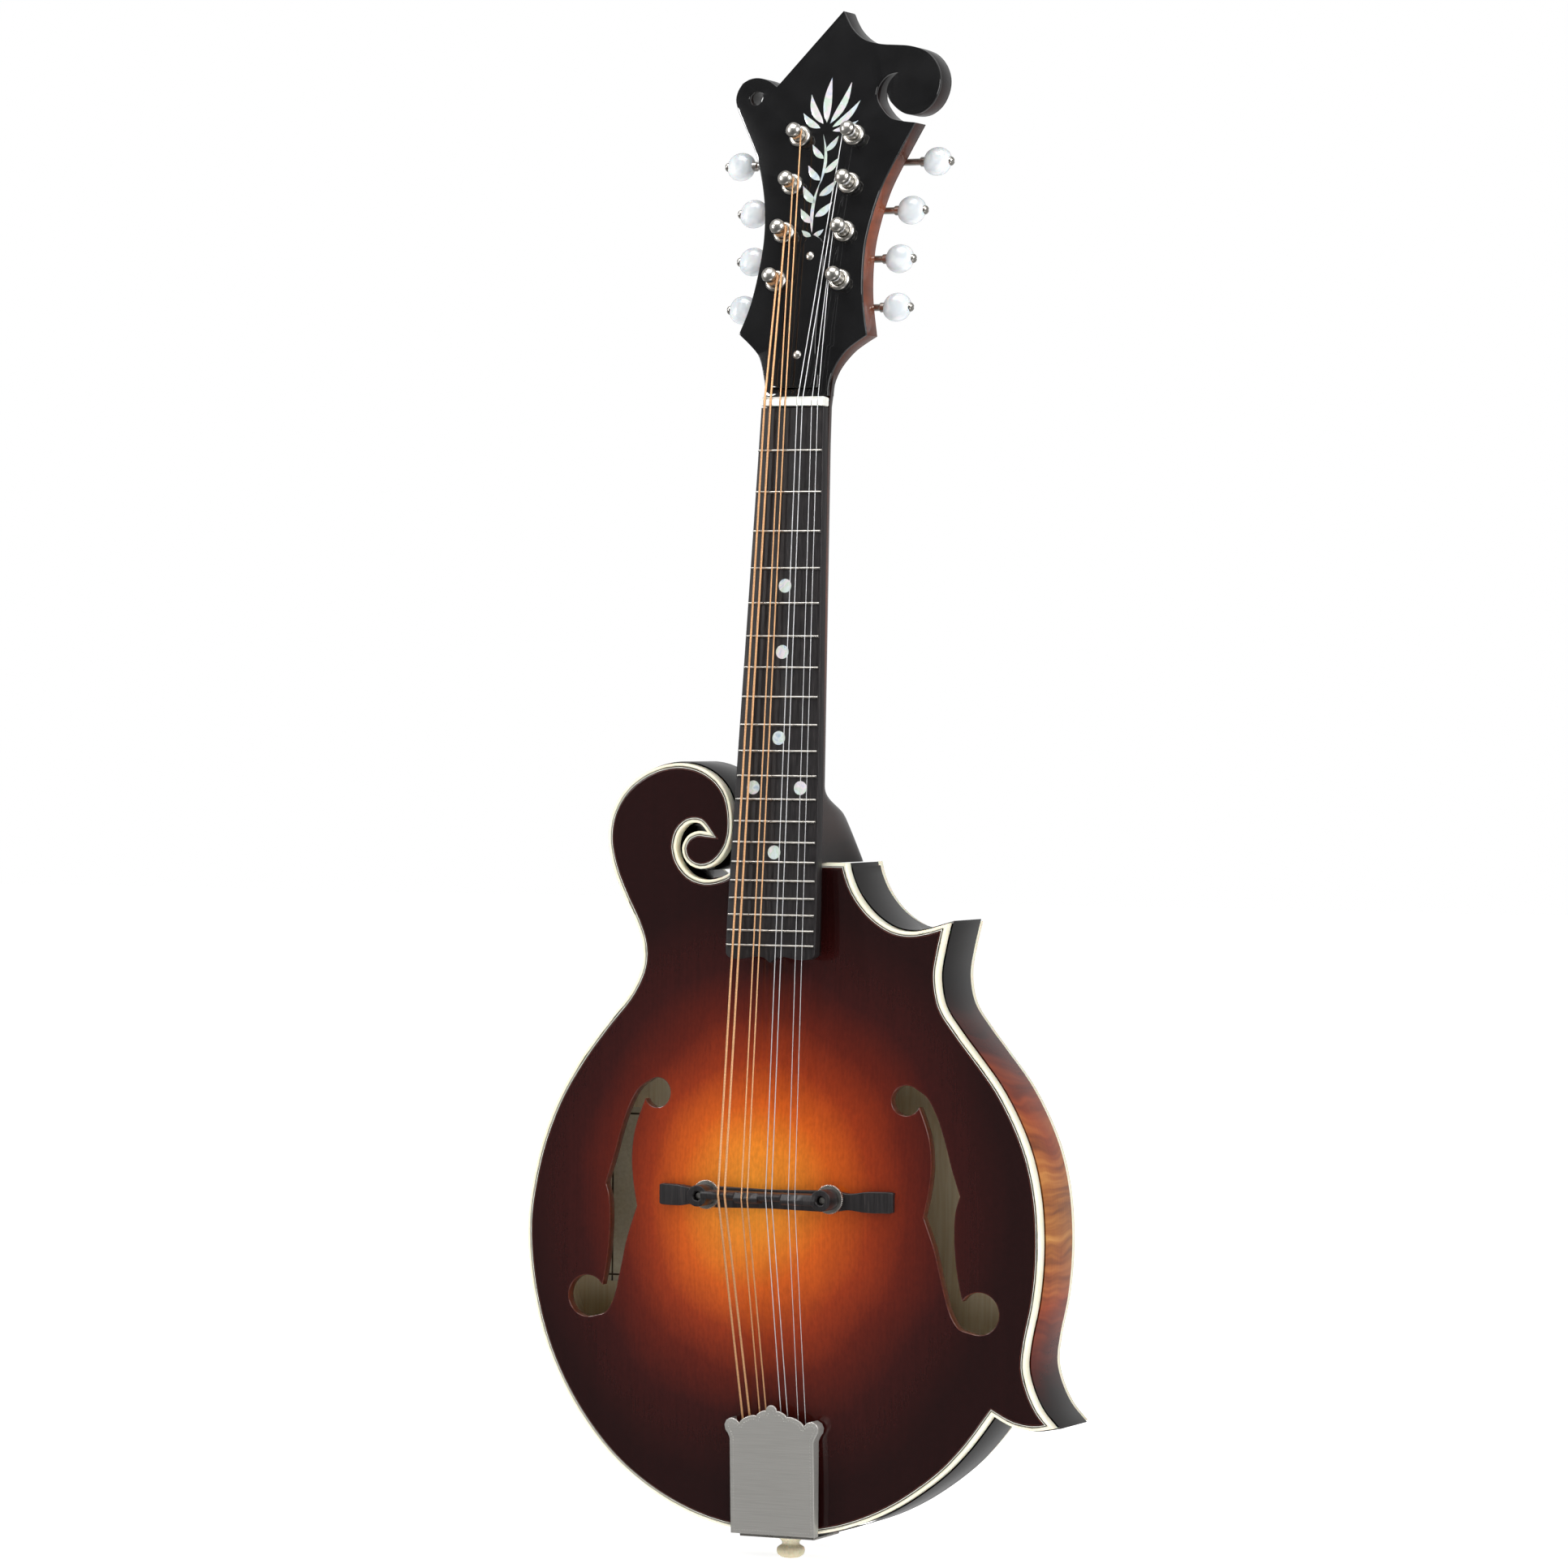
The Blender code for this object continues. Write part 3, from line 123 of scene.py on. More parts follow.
FLOOR_DROP = 0.6 * mm
world = bpy.data.worlds.new("studio")
bpy.context.scene.world = world
world.use_nodes = True
tree = world.node_tree
direction = add(tree, "ShaderNodeTexCoord").outputs["Generated"]
depthwise = add(tree, "ShaderNodeSeparateXYZ", {0: direction}).outputs["Y"]
front_to_back = add(
    tree, "ShaderNodeMapRange",
    {"Value": depthwise, "From Min": -0.75, "From Max": 0.25, "To Min": 0.12, "To Max": 0.32},
)
seen = add(tree, "ShaderNodeLightPath").outputs["Is Camera Ray"]
level = add(tree, "ShaderNodeMix", {"Factor": seen, "A": front_to_back.outputs[0], "B": 1.0})
tree.links.new(level.outputs[0], tree.nodes["Background"].inputs["Strength"])
tree.nodes["Background"].inputs["Color"].default_value = linear("FFFFFF")
bpy.context.scene.view_settings.view_transform = "Standard"

floor_mesh = bpy.data.meshes.new("floor")
floor_z = cad_size[0][2] - FLOOR_DROP
floor_mesh.from_pydata([(x, y, floor_z) for x, y in ((-9, -9), (9, -9), (9, 9), (-9, 9))], [], [(0, 1, 2, 3)])
floor = bpy.data.objects.new("floor", floor_mesh)
bpy.context.scene.collection.objects.link(floor)
pale = bpy.data.materials.new("matt_white_paper")
pale.use_nodes = True
shader = pale.node_tree.nodes["Principled BSDF"]
shader.inputs["Base Color"].default_value = linear("F4F4F4")
shader.inputs["Roughness"].default_value = 0.9
shader.inputs["Specular IOR Level"].default_value = 0.0
shader.inputs["Emission Color"].default_value = linear("FFFFFF")
shader.inputs["Emission Strength"].default_value = 0.8
floor_mesh.materials.append(pale)
floor.visible_glossy = False  # so that it lays no veil over the dark lacquer

LIT_PLACE = Vector((0, 0, -0.2))


def softbox(name, azimuth, elevation, distance, width, height, power):
    """An area light aimed at the middle. Azimuth 0 is in front, and 90 on the treble side."""
    a, e = math.radians(azimuth), math.radians(elevation)
    away = Vector((math.sin(a) * math.cos(e), -math.cos(a) * math.cos(e), math.sin(e)))
    lamp = bpy.data.lights.new(name, "AREA")
    lamp.shape = "RECTANGLE"
    lamp.size, lamp.size_y = width, height
    lamp.energy = power
    made = bpy.data.objects.new(name, lamp)
    facing = away.to_track_quat("Z", "Y").to_matrix().to_4x4()
    made.matrix_world = Matrix.Translation(LIT_PLACE + away * distance) @ facing
    bpy.context.scene.collection.objects.link(made)


softbox("key", 62, 28, 2.4, 1.3, 1.3, 36)
softbox("strip", -52, 24, 2.0, 0.14, 0.7, 12)
softbox("overhead", -20, 66, 2.2, 1.4, 1.0, 30)
softbox("low_fill", 30, -38, 2.2, 1.2, 0.8, 8)


# The top: two bookmatched halves of spruce, carved to an arch and hollowed to one thickness, with two
# f-holes. It is stained from amber round the bridge to near black at the edge, under thick gloss lacquer.
ARCH_FALL = 3.1
PLATE_GRID = 3.2 * mm
CORNER = math.radians(30)
SHARP, SHARP_FLAT = 38, 25  # degrees, on curved and on flat pieces
OUTLINE_STEP, HOLE_STEP = 2.2 * mm, 0.9 * mm
SAME_PLACE = 1e-6  # metres
PURFLING = 0.5 * mm  # taken from the plate's edge by the inlaid lines
EDGE_ROUND = 0.45 * mm
SUPPORT = 0.5 * mm  # from an arched face's edge to the points that keep its shading even


def face_loops(node, facing, share=0.4):
    """Closed loops round a CAD node's faces that look one way, longest first, material on the left."""
    bm = bmesh.new()
    bm.from_mesh(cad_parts[node].data)
    bmesh.ops.remove_doubles(bm, verts=bm.verts, dist=SAME_PLACE)
    bm.normal_update()
    looks = {face for face in bm.faces if face.normal.dot(facing) > share}
    after = {}
    for face in looks:
        for corner in face.loops:
            if not all(other in looks for other in corner.edge.link_faces):
                after[corner.vert] = corner.link_loop_next.vert
    loops = []
    while after:
        start, here = after.popitem()
        loop = [start.co.copy()]
        while here is not start:
            loop.append(here.co.copy())
            here = after.pop(here)
        loops.append(loop)
    bm.free()
    return sorted(loops, key=lambda loop: -sum((a - b).length for a, b in zip(loop, loop[1:])))


def flat(loop):
    """A loop's X and Z."""
    return [Vector((p.x, p.z)) for p in loop]


def refined(loop, step):
    """A closed outline with smooth stretches between its corners, about one point every step."""
    count = len(loop)
    turns = [(loop[i] - loop[i - 1]).angle(loop[(i + 1) % count] - loop[i]) for i in range(count)]
    corners = [i for i in range(count) if turns[i] > CORNER] or [0]
    out = []
    for first, last in zip(corners, corners[1:] + [corners[0] + count]):
        run = [loop[i % count] for i in range(first, last + 1)]
        padded = [2 * run[0] - run[1], *run, 2 * run[-1] - run[-2]]
        if len(corners) == 1:
            padded[0], padded[-1] = loop[first - 1], loop[(last + 1) % count]
        for a, b, c, d in zip(padded, padded[1:], padded[2:], padded[3:]):
            ab, bc, cd = (math.sqrt((v - u).length) for u, v in ((a, b), (b, c), (c, d)))
            leave = (c - b) + bc * ((b - a) / ab - (c - a) / (ab + bc))
            arrive = (c - b) + bc * ((d - c) / cd - (d - b) / (bc + cd))
            pieces = max(1, round((c - b).length / step)) if len(run) > 2 else 1
            for i in range(pieces):
                t = i / pieces
                h0, h1 = 2 * t**3 - 3 * t**2 + 1, t**3 - 2 * t**2 + t
                h2, h3 = t**3 - t**2, 3 * t**2 - 2 * t**3
                out.append(h0 * b + h1 * leave + h3 * c + h2 * arrive)
    return out


def moved_in(loop, distance, sharpest=2.2):
    """The closed outline moved to its left."""
    out = []
    for i, point in enumerate(loop):
        before = (point - loop[i - 1]).normalized()
        after = (loop[(i + 1) % len(loop)] - point).normalized()
        first, second = Vector((-before.y, before.x)), Vector((-after.y, after.x))
        middle = (first + second).normalized()
        out.append(point + middle * (distance / max(middle.dot(first), 1 / sharpest)))
    return out


def within(points, loop):
    """Which of an array of points lie inside a closed outline."""
    odd = np.zeros(len(points), bool)
    for a, b in zip(loop, loop[1:] + loop[:1]):
        if a[1] != b[1]:
            across = (points[:, 1] < a[1]) != (points[:, 1] < b[1])
            odd ^= across & (points[:, 0] < a[0] + (b[0] - a[0]) * (points[:, 1] - a[1]) / (b[1] - a[1]))
    return odd


def filled(loops, grid=None):
    """Triangles over an outline and its holes: all points, the outline's points first, and the two sets of
    faces, those of the sheet and those across its holes."""
    points, edges = [], []
    for loop in loops:
        first = len(points)
        points += loop
        edges += [(first + i, first + (i + 1) % len(loop)) for i in range(len(loop))]
    if grid:
        rim = np.array([tuple(p) for p in points])
        low, high = rim.min(0), rim.max(0)
        rows = np.arange(low[1], high[1], grid * math.sqrt(3) / 2)
        spots = np.array([
            (x + (i % 2) * grid / 2, z) for i, z in enumerate(rows) for x in np.arange(low[0], high[0], grid)
        ])
        spots = spots[within(spots, loops[0])]
        clear = [np.hypot(*(rim - spot).T).min() > grid * 0.55 for spot in spots]
        points += [Vector(spot) for spot in spots[clear]]
        points += [p for loop in loops for p in moved_in(loop, SUPPORT)]
    verts, _, faces, origins, *_ = delaunay_2d_cdt(points, edges, [], 0, 1e-8, True)
    order = []
    for vert, origin in zip(verts, origins):
        order.append(origin[0] if origin else len(points))
        points += [] if origin else [vert]
    faces = np.array([[order[i] for i in face] for face in faces])
    places = np.array([tuple(p) for p in points])
    centres = places[faces].mean(1)
    sheet = within(centres, loops[0])
    hole = np.zeros(len(faces), bool)
    for loop in loops[1:]:
        hole |= within(centres, loop)
    return places, faces[sheet & ~hole], faces[sheet & hole]


def arch_share(places, faces, edge_count):
    """Each point's share of an arch's rise: the bulge of a skin that is held along its edge."""
    corners = places[faces]
    sides = corners[:, [2, 0, 1]] - corners[:, [1, 2, 0]]
    area = np.abs(sides[:, 0, 0] * sides[:, 1, 1] - sides[:, 0, 1] * sides[:, 1, 0]) / 2
    blocks = np.einsum("fik,fjk->fij", sides, sides) / (4 * area)[:, None, None]
    load = np.bincount(faces.ravel(), np.repeat(area / 3, 3), len(places))
    held = np.arange(len(places)) < edge_count
    load[held] = 0
    own = np.bincount(faces.ravel(), blocks[:, range(3), range(3)].ravel(), len(places)) + held + 1e-12

    def stiffness(values):
        values = np.where(held, 0, values)
        forces = np.einsum("fij,fj->fi", blocks, values[faces])
        return np.where(held, 0, np.bincount(faces.ravel(), forces.ravel(), len(places)))

    bulge, left = np.zeros(len(places)), load.copy()
    way = left / own
    power = left @ (left / own)
    for _ in range(600):
        moved = stiffness(way)
        step = power / (way @ moved)
        bulge += step * way
        left -= step * moved
        fresh = left @ (left / own)
        if fresh < 1e-16 * (load @ (load / own)):
            break
        way = left / own + way * (fresh / power)
        power = fresh
    return np.clip(bulge / bulge.max(), 0, 1) ** ARCH_FALL


def put(name, verts, faces, finishes, body="root", finish_slot=None, stands_for=(), finish_of=None, sharp=SHARP):
    """A mesh as a piece that rides on a body: finishes are its materials, and finish_of each face's. With no
    body it is left to be joined to another piece."""
    mesh = bpy.data.meshes.new(name)
    mesh.from_pydata([tuple(v) for v in verts], [], [tuple(int(i) for i in f) for f in faces])
    for finish in finishes:
        mesh.materials.append(finish)
    if finish_of is not None:
        mesh.polygons.foreach_set("material_index", np.array(finish_of, np.int32))
    mesh.validate()
    mesh.shade_smooth()
    mesh.set_sharp_from_angle(angle=math.radians(sharp))
    made = bpy.data.objects.new(name, mesh)
    bpy.context.scene.collection.objects.link(made)
    if body:
        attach(made, body)
    if stands_for:
        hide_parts(*stands_for)
    return made


def board(name, loops, depths, finishes, grid=None, rounded=EDGE_ROUND, rounded_back=None, **kept):
    """A flat or arched piece with rounded edges: outlines in X and Z, material on their left, and a function
    that gives the front and the back Y of the points of its faces. A second finish is the back's,
    a third the wall's."""
    steps = 3
    kept = {"sharp": SHARP if grid else SHARP_FLAT, **kept}
    rounded_back = rounded if rounded_back is None else rounded_back
    cap = [moved_in(loop, rounded) for loop in loops]
    places, sheet, _ = filled(cap, grid)
    front, rear = depths(places)
    verts = [(p[0], y, p[1]) for p, y in zip(places, front)]
    faces = [tuple(f) for f in sheet]
    finish_of = [0] * len(faces)
    count = len(verts)
    verts += [(p[0], y, p[1]) for p, y in zip(places, rear)]
    faces += [tuple(int(i) + count for i in reversed(f)) for f in sheet]
    finish_of += [min(1, len(finishes) - 1)] * len(sheet)
    first = 0
    for loop in loops:
        length = len(loop)
        rings = [[first + i for i in range(length)]]
        for side, size in ((0, rounded), (1, rounded_back)):
            turns = [math.pi / 2 * (k + 1) / steps for k in range(steps)]
            for t in turns if side == 0 else turns[::-1]:
                shifted = moved_in(loop, size * (1 - math.sin(t)))
                ring = []
                for i, p in enumerate(shifted):
                    face_y = (front, rear)[side][first + i]
                    drop = size * (1 - math.cos(t))
                    verts.append((p.x, face_y + drop if side == 0 else face_y - drop, p.y))
                    ring.append(len(verts) - 1)
                rings.append(ring)
        rings.append([count + first + i for i in range(length)])
        for upper, lower in zip(rings, rings[1:]):
            for i in range(length):
                j = (i + 1) % length
                faces.append((upper[i], lower[i], lower[j], upper[j]))
                finish_of.append(len(finishes) - 1 if len(finishes) > 2 else 0)
        first += length
    return put(name, verts, faces, finishes, finish_of=finish_of, **kept)


def counter(loop):
    """An outline seen from the front, turned so that its material is on the left: anticlockwise."""
    area = sum(a.x * b.y - b.x * a.y for a, b in zip(loop, loop[1:] + loop[:1]))
    return loop if area > 0 else loop[::-1]


def new_finish(name, roughness, metallic=0.0, coat=0.0, coat_roughness=0.03, ior=1.5):
    """A material with its even values set, its tree, its shader, and the position in metres."""
    made = bpy.data.materials.new(name)
    made.use_nodes = True
    tree = made.node_tree
    shader = tree.nodes["Principled BSDF"]
    shader.inputs["Roughness"].default_value = roughness
    shader.inputs["Metallic"].default_value = metallic
    shader.inputs["Coat Weight"].default_value = coat
    shader.inputs["Coat Roughness"].default_value = coat_roughness
    shader.inputs["IOR"].default_value = ior
    if coat == 1.0:
        # under lacquer the wood has no gloss of its own
        shader.inputs["Specular IOR Level"].default_value = 0.06
    return made, tree, shader, add(tree, "ShaderNodeTexCoord").outputs["Object"]


def ramp(tree, factor, stops):
    """A colour ramp through (position, hex colour) stops."""
    node = add(tree, "ShaderNodeValToRGB", {"Fac": factor})
    marks = node.color_ramp.elements
    while len(marks) < len(stops):
        marks.new(0.5)
    for mark, (position, code) in zip(marks, stops):
        mark.position = position
        mark.color = linear(code)
    return node.outputs["Color"]


rim_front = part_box("top_binding")[0].y
top_low, top_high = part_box("top_plate")
edge_back = top_high.y
top_rise = rim_front - top_low.y
GLOW = (-9 * mm, -354 * mm)  # the middle of the stain's amber
GLOW_REACH = (87 * mm, 98 * mm)

# Lacquered spruce: fine straight growth lines under a clear coat, with the stain sprayed over them in a
# ring; it looks wet and deep, and its grain shows only where the stain is light.
spruce, tree, shader, spot = new_finish("lacquered_sunburst_spruce", 0.42, coat=1.0, coat_roughness=0.035)
centred = add(
    tree, "ShaderNodeMapping",
    {
        "Vector": spot, "Location": (-GLOW[0] / GLOW_REACH[0], 0, -GLOW[1] / GLOW_REACH[1]),
        "Scale": (1 / GLOW_REACH[0], 0, 1 / GLOW_REACH[1]),
    },
)
reach = add(tree, "ShaderNodeVectorMath", {0: centred.outputs[0]}, operation="LENGTH")
drift = add(tree, "ShaderNodeTexNoise", {"Vector": spot, "Scale": 18.0, "Detail": 2.0})
uneven = add(
    tree, "ShaderNodeMath", {0: drift.outputs[0], 1: 0.16, 2: reach.outputs["Value"]},
    operation="MULTIPLY_ADD",
)
even = add(tree, "ShaderNodeMath", {0: uneven.outputs[0], 1: 0.08}, operation="SUBTRACT")
scaled = add(tree, "ShaderNodeMath", {0: even.outputs[0], 1: 1 / 1.6}, operation="MULTIPLY")
burst = ramp(tree, scaled.outputs[0], [
    (0.0, "DC8A2A"), (0.14, "D07620"), (0.27, "B44E12"), (0.4, "7E2A0C"), (0.52, "521609"), (0.66, "300C0A"),
    (0.85, "1D0707"),
])
GRAIN = 1.1 * mm  # between growth lines
lines = add(tree, "ShaderNodeMapping", {"Vector": spot, "Scale": (1 / GRAIN, 1 / GRAIN, 3.0)})
grain = add(
    tree, "ShaderNodeTexNoise", {"Vector": lines.outputs[0], "Scale": 1.0, "Detail": 3.0, "Roughness": 0.6},
)
fleck_scale = add(tree, "ShaderNodeMapping", {"Vector": spot, "Scale": (900, 900, 420)})
fleck = add(tree, "ShaderNodeTexNoise", {"Vector": fleck_scale.outputs[0], "Scale": 1.0, "Detail": 2.0})
both = add(tree, "ShaderNodeMath", {0: grain.outputs[0], 1: fleck.outputs[0]}, operation="ADD")
shade = add(
    tree, "ShaderNodeMapRange",
    {"Value": both.outputs[0], "From Min": 0.75, "From Max": 1.25, "To Min": 0.86, "To Max": 1.12},
)
stained = add(tree, "ShaderNodeVectorMath", {0: burst, "Scale": shade.outputs[0]}, operation="SCALE")
tree.links.new(stained.outputs[0], shader.inputs["Base Color"])
ripple = add(tree, "ShaderNodeTexNoise", {"Vector": spot, "Scale": 60.0, "Detail": 1.0})
lacquer = add(tree, "ShaderNodeBump", {"Height": ripple.outputs[0], "Strength": 0.05, "Distance": 0.0006})
tree.links.new(lacquer.outputs[0], shader.inputs["Coat Normal"])

# Bare spruce and maple inside the body: dry, pale and matt
bare, tree, shader, spot = new_finish("bare_tonewood", 0.75)
inside_map = add(tree, "ShaderNodeMapping", {"Vector": spot, "Scale": (700, 700, 25)})
inside_grain = add(tree, "ShaderNodeTexNoise", {"Vector": inside_map.outputs[0], "Scale": 1.0, "Detail": 3.0})
tree.links.new(
    ramp(tree, inside_grain.outputs[0], [(0.3, "E2D0AC"), (0.7, "F4E8CC")]), shader.inputs["Base Color"],
)

# Dark red end grain in the walls of the f-holes, glossy where the lacquer ran over the edge
cut_edge, tree, shader, spot = new_finish("stained_cut_edge", 0.35, coat=0.9, coat_roughness=0.08)
cut_map = add(tree, "ShaderNodeTexNoise", {"Vector": spot, "Scale": 900.0, "Detail": 2.0})
tree.links.new(
    ramp(tree, cut_map.outputs[0], [(0.3, "3A120A"), (0.7, "602512")]), shader.inputs["Base Color"],
)

top_loops = [counter(refined(flat(face_loops("top_plate", FRONT)[0]), OUTLINE_STEP))]
top_loops = [moved_in(top_loops[0], PURFLING)]
hole_loops = face_loops("top_plate", FRONT)[1:3]
hole_loops = [counter(refined(flat(loop), HOLE_STEP))[::-1] for loop in hole_loops]
TOP_THICKNESS = 4.4 * mm
PLATE_ROUND = 0.35 * mm  # of the carved plates' edges and the f-holes' rims


def carve(name, loops, edge_y, outward, rise, edge_depth, thickness, finishes, round_holes, **kept):
    """A carved plate: an arch over its outline, hollowed on its other side to one thickness. It gives back
    the outer and the inner surface, to find places on."""
    made = {}

    def depths(places):
        share = made["share"]
        outer = edge_y + outward * rise * share
        inner = edge_y - outward * edge_depth + outward * (rise + edge_depth - thickness) * share
        made["surface"] = (outer, inner)
        return (outer, inner) if outward < 0 else (inner, outer)

    cap = [moved_in(loop, round_holes) for loop in loops]
    places, sheet, across = filled(cap, PLATE_GRID)
    made["share"] = arch_share(
        places, np.concatenate([sheet, across]) if len(across) else sheet, len(loops[0]),
    )
    board(name, loops, depths, finishes, grid=PLATE_GRID, rounded=round_holes, **kept)
    outer, inner = made["surface"]
    trees = []
    for surface in (outer, inner):
        skin = [Vector((p[0], y, p[1])) for p, y in zip(places, surface)]
        trees.append(
            BVHTree.FromPolygons(skin, [tuple(int(i) for i in f) for f in np.concatenate([sheet, across])])
        )
    return trees


top_skin, _ = carve(
    "carved_spruce_top", top_loops + hole_loops, rim_front, -1, top_rise, edge_back - rim_front,
    TOP_THICKNESS, [spruce, bare, cut_edge], PLATE_ROUND, stands_for=["top_plate"],
    finish_slot="sunburst_spruce",
)


# The bindings: cream celluloid strips let into the edges of the top and the back, and inside each a black,
# a white and a black line of thin fibre, scraped flush. The ribs between them are bent from flamed maple.
BINDING_ROUND = 0.55 * mm
LINE_PLACES = (-0.3 * mm, -0.05 * mm, 0.2 * mm, 0.5 * mm)  # from the CAD plate's edge, inward
LINE_DEPTH = 1.0 * mm
LINE_ROUND = 0.02 * mm
LINE_PROUD = 0.03 * mm  # so that the lines cover the plate under them
RIB_INSET = 0.12 * mm
RIB_THICKNESS = 2.3 * mm
LINING = (0.9 * mm, 3.2 * mm)

# Celluloid: yellowed, slightly translucent and polished with the lacquer
celluloid, tree, shader, spot = new_finish("polished_cream_celluloid", 0.32, coat=0.8, coat_roughness=0.05)
cloud = add(tree, "ShaderNodeTexNoise", {"Vector": spot, "Scale": 45.0, "Detail": 4.0})
tree.links.new(ramp(tree, cloud.outputs[0], [(0.3, "E9E2C6"), (0.7, "F6F2DE")]), shader.inputs["Base Color"])
shader.inputs["Subsurface Weight"].default_value = 0.15
shader.inputs["Subsurface Scale"].default_value = 1.0 * mm

# Vulcanised fibre, dyed black or left white, under the same lacquer
fibres = []
for name, low, high in (("black_fibre_line", "0B0A0A", "1A1716"), ("white_fibre_line", "DAD6C8", "EFECE2")):
    fibre, tree, shader, spot = new_finish(name, 0.4, coat=0.8)
    cloud = add(tree, "ShaderNodeTexNoise", {"Vector": spot, "Scale": 300.0})
    tree.links.new(ramp(tree, cloud.outputs[0], [(0.3, low), (0.7, high)]), shader.inputs["Base Color"])
    fibres.append(fibre)

# Flamed maple: stripes of curly grain run across each rib, bright where they lie open to the light. The
# stain is amber in the middle of the lower bout and fades to black at the points, the scroll and the tail.
FLAME = 6.0 * mm
ribs_maple, tree, shader, spot = new_finish("lacquered_flamed_maple", 0.38, coat=1.0, coat_roughness=0.05)
warp = add(tree, "ShaderNodeTexNoise", {"Vector": spot, "Scale": 22.0, "Detail": 2.0})
swerve = add(tree, "ShaderNodeMapRange", {"Value": warp.outputs[0], "To Min": -0.011, "To Max": 0.011})
lift = add(tree, "ShaderNodeCombineXYZ", {"Z": swerve.outputs[0]})
bent = add(tree, "ShaderNodeVectorMath", {0: spot, 1: lift.outputs[0]}, operation="ADD")
stretch = add(
    tree, "ShaderNodeMapping",
    {"Vector": bent.outputs[0], "Rotation": (0.16, 0, 0), "Scale": (20, 12, 1 / FLAME)},
)
flame = add(
    tree, "ShaderNodeTexNoise",
    {"Vector": stretch.outputs[0], "Scale": 1.0, "Detail": 2.5, "Roughness": 0.55},
)
pores = add(tree, "ShaderNodeMapping", {"Vector": spot, "Scale": (300, 1500, 60)})
fine = add(tree, "ShaderNodeTexNoise", {"Vector": pores.outputs[0], "Scale": 1.0, "Detail": 2.0})
figure = add(
    tree, "ShaderNodeMath", {0: fine.outputs[0], 1: 0.12, 2: flame.outputs[0]}, operation="MULTIPLY_ADD",
)
amber = ramp(tree, figure.outputs[0], [(0.36, "703A16"), (0.5, "965820"), (0.62, "AE7030"), (0.74, "C48C46")])
place = add(tree, "ShaderNodeSeparateXYZ", {0: spot})
AMBER_MIDDLE = -352 * mm
AMBER_REACH = 108 * mm
along = add(tree, "ShaderNodeMath", {0: place.outputs["Z"], 1: AMBER_MIDDLE}, operation="SUBTRACT")
share = add(tree, "ShaderNodeMath", {0: along.outputs[0], 1: AMBER_REACH}, operation="DIVIDE")
square = add(tree, "ShaderNodeMath", {0: share.outputs[0], 1: share.outputs[0]}, operation="MULTIPLY")
cloudy = add(
    tree, "ShaderNodeMath", {0: warp.outputs[0], 1: 0.35, 2: square.outputs[0]}, operation="MULTIPLY_ADD",
)
stain = ramp(tree, cloudy.outputs[0], [
    (0.16, "FFFFFF"), (0.34, "D48A5E"), (0.55, "7A3420"), (0.85, "2A1110"), (1.0, "0F0B0C"),
])
dyed = add(tree, "ShaderNodeMix", {0: 1.0, 6: amber, 7: stain}, data_type="RGBA", blend_type="MULTIPLY")
tree.links.new(dyed.outputs[2], shader.inputs["Base Color"])

JOINT_STEP = 2.4 * mm  # up from the plate's own edge to the neck's joint
joint_z = max(p.y for p in top_loops[0] if p.x > 20 * mm) + JOINT_STEP
back_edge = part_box("back_binding")[1].y
binding_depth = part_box("top_binding")[1].y - rim_front
strip_loop = counter(refined(flat(face_loops("top_binding", FRONT)[0]), OUTLINE_STEP))


def between(front, rear):
    """A function for board() that gives a piece one flat front and one flat back."""
    return lambda places: (np.full(len(places), front), np.full(len(places), rear))


plate_line = moved_in(top_loops[0], -PURFLING)
strip_ring = [strip_loop, moved_in(plate_line, LINE_PLACES[0])[::-1]]
board(
    "top_binding_strip", strip_ring, between(rim_front, rim_front + binding_depth), [celluloid],
    rounded=BINDING_ROUND, rounded_back=0.1 * mm, stands_for=["top_binding"], finish_slot="cream_binding",
)
board(
    "back_binding_strip", strip_ring, between(back_edge - binding_depth, back_edge), [celluloid],
    rounded=0.1 * mm, rounded_back=BINDING_ROUND, stands_for=["back_binding"], finish_slot="cream_binding",
)
for side, front in (("top", rim_front - LINE_PROUD), ("back", back_edge - LINE_DEPTH)):
    for number, (outer, inner) in enumerate(zip(LINE_PLACES, LINE_PLACES[1:])):
        ring = [moved_in(plate_line, outer), moved_in(plate_line, inner)[::-1]]
        board(
            f"{side}_purfling_line_{number + 1}", ring, between(front, front + LINE_DEPTH + LINE_PROUD),
            [fibres[number % 2]], rounded=LINE_ROUND, finish_slot="cream_binding",
        )
NECK_STRIP = (16.5 * mm, 30.2 * mm, 1.6 * mm)
corner = [(NECK_STRIP[0], joint_z - NECK_STRIP[2]), (NECK_STRIP[1], joint_z - NECK_STRIP[2])]
corner += [(NECK_STRIP[1], joint_z), (NECK_STRIP[0], joint_z)]
board(
    "neck_joint_binding", [[Vector(p) for p in corner]], between(rim_front, rim_front + binding_depth),
    [celluloid], rounded=0.2 * mm, finish_slot="cream_binding",
)
board(
    "maple_ribs", [moved_in(strip_loop, RIB_INSET), moved_in(strip_loop, RIB_THICKNESS)[::-1]],
    between(rim_front + binding_depth, back_edge - binding_depth), [ribs_maple], rounded=0.05 * mm,
    stands_for=["rim_bass", "rim_waist", "rim_tail", "head_block"], finish_slot="stained_maple",
)
lining = [moved_in(plate_line, LINING[0]), moved_in(plate_line, LINING[1])[::-1]]
board(
    "rib_linings", lining, between(rim_front + binding_depth, back_edge - binding_depth), [bare],
    rounded=0.1 * mm, finish_slot="bare_wood",
)
for node in ("tail_block", "tone_bar_bass", "tone_bar_treble"):
    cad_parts[node].material_slots[0].material = bare


# The back: bookmatched flamed maple, carved like the top, with the same stain, seen from behind. A plain
# paper label is glued inside it, under the bass f-hole.
back_low, back_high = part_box("back_plate")

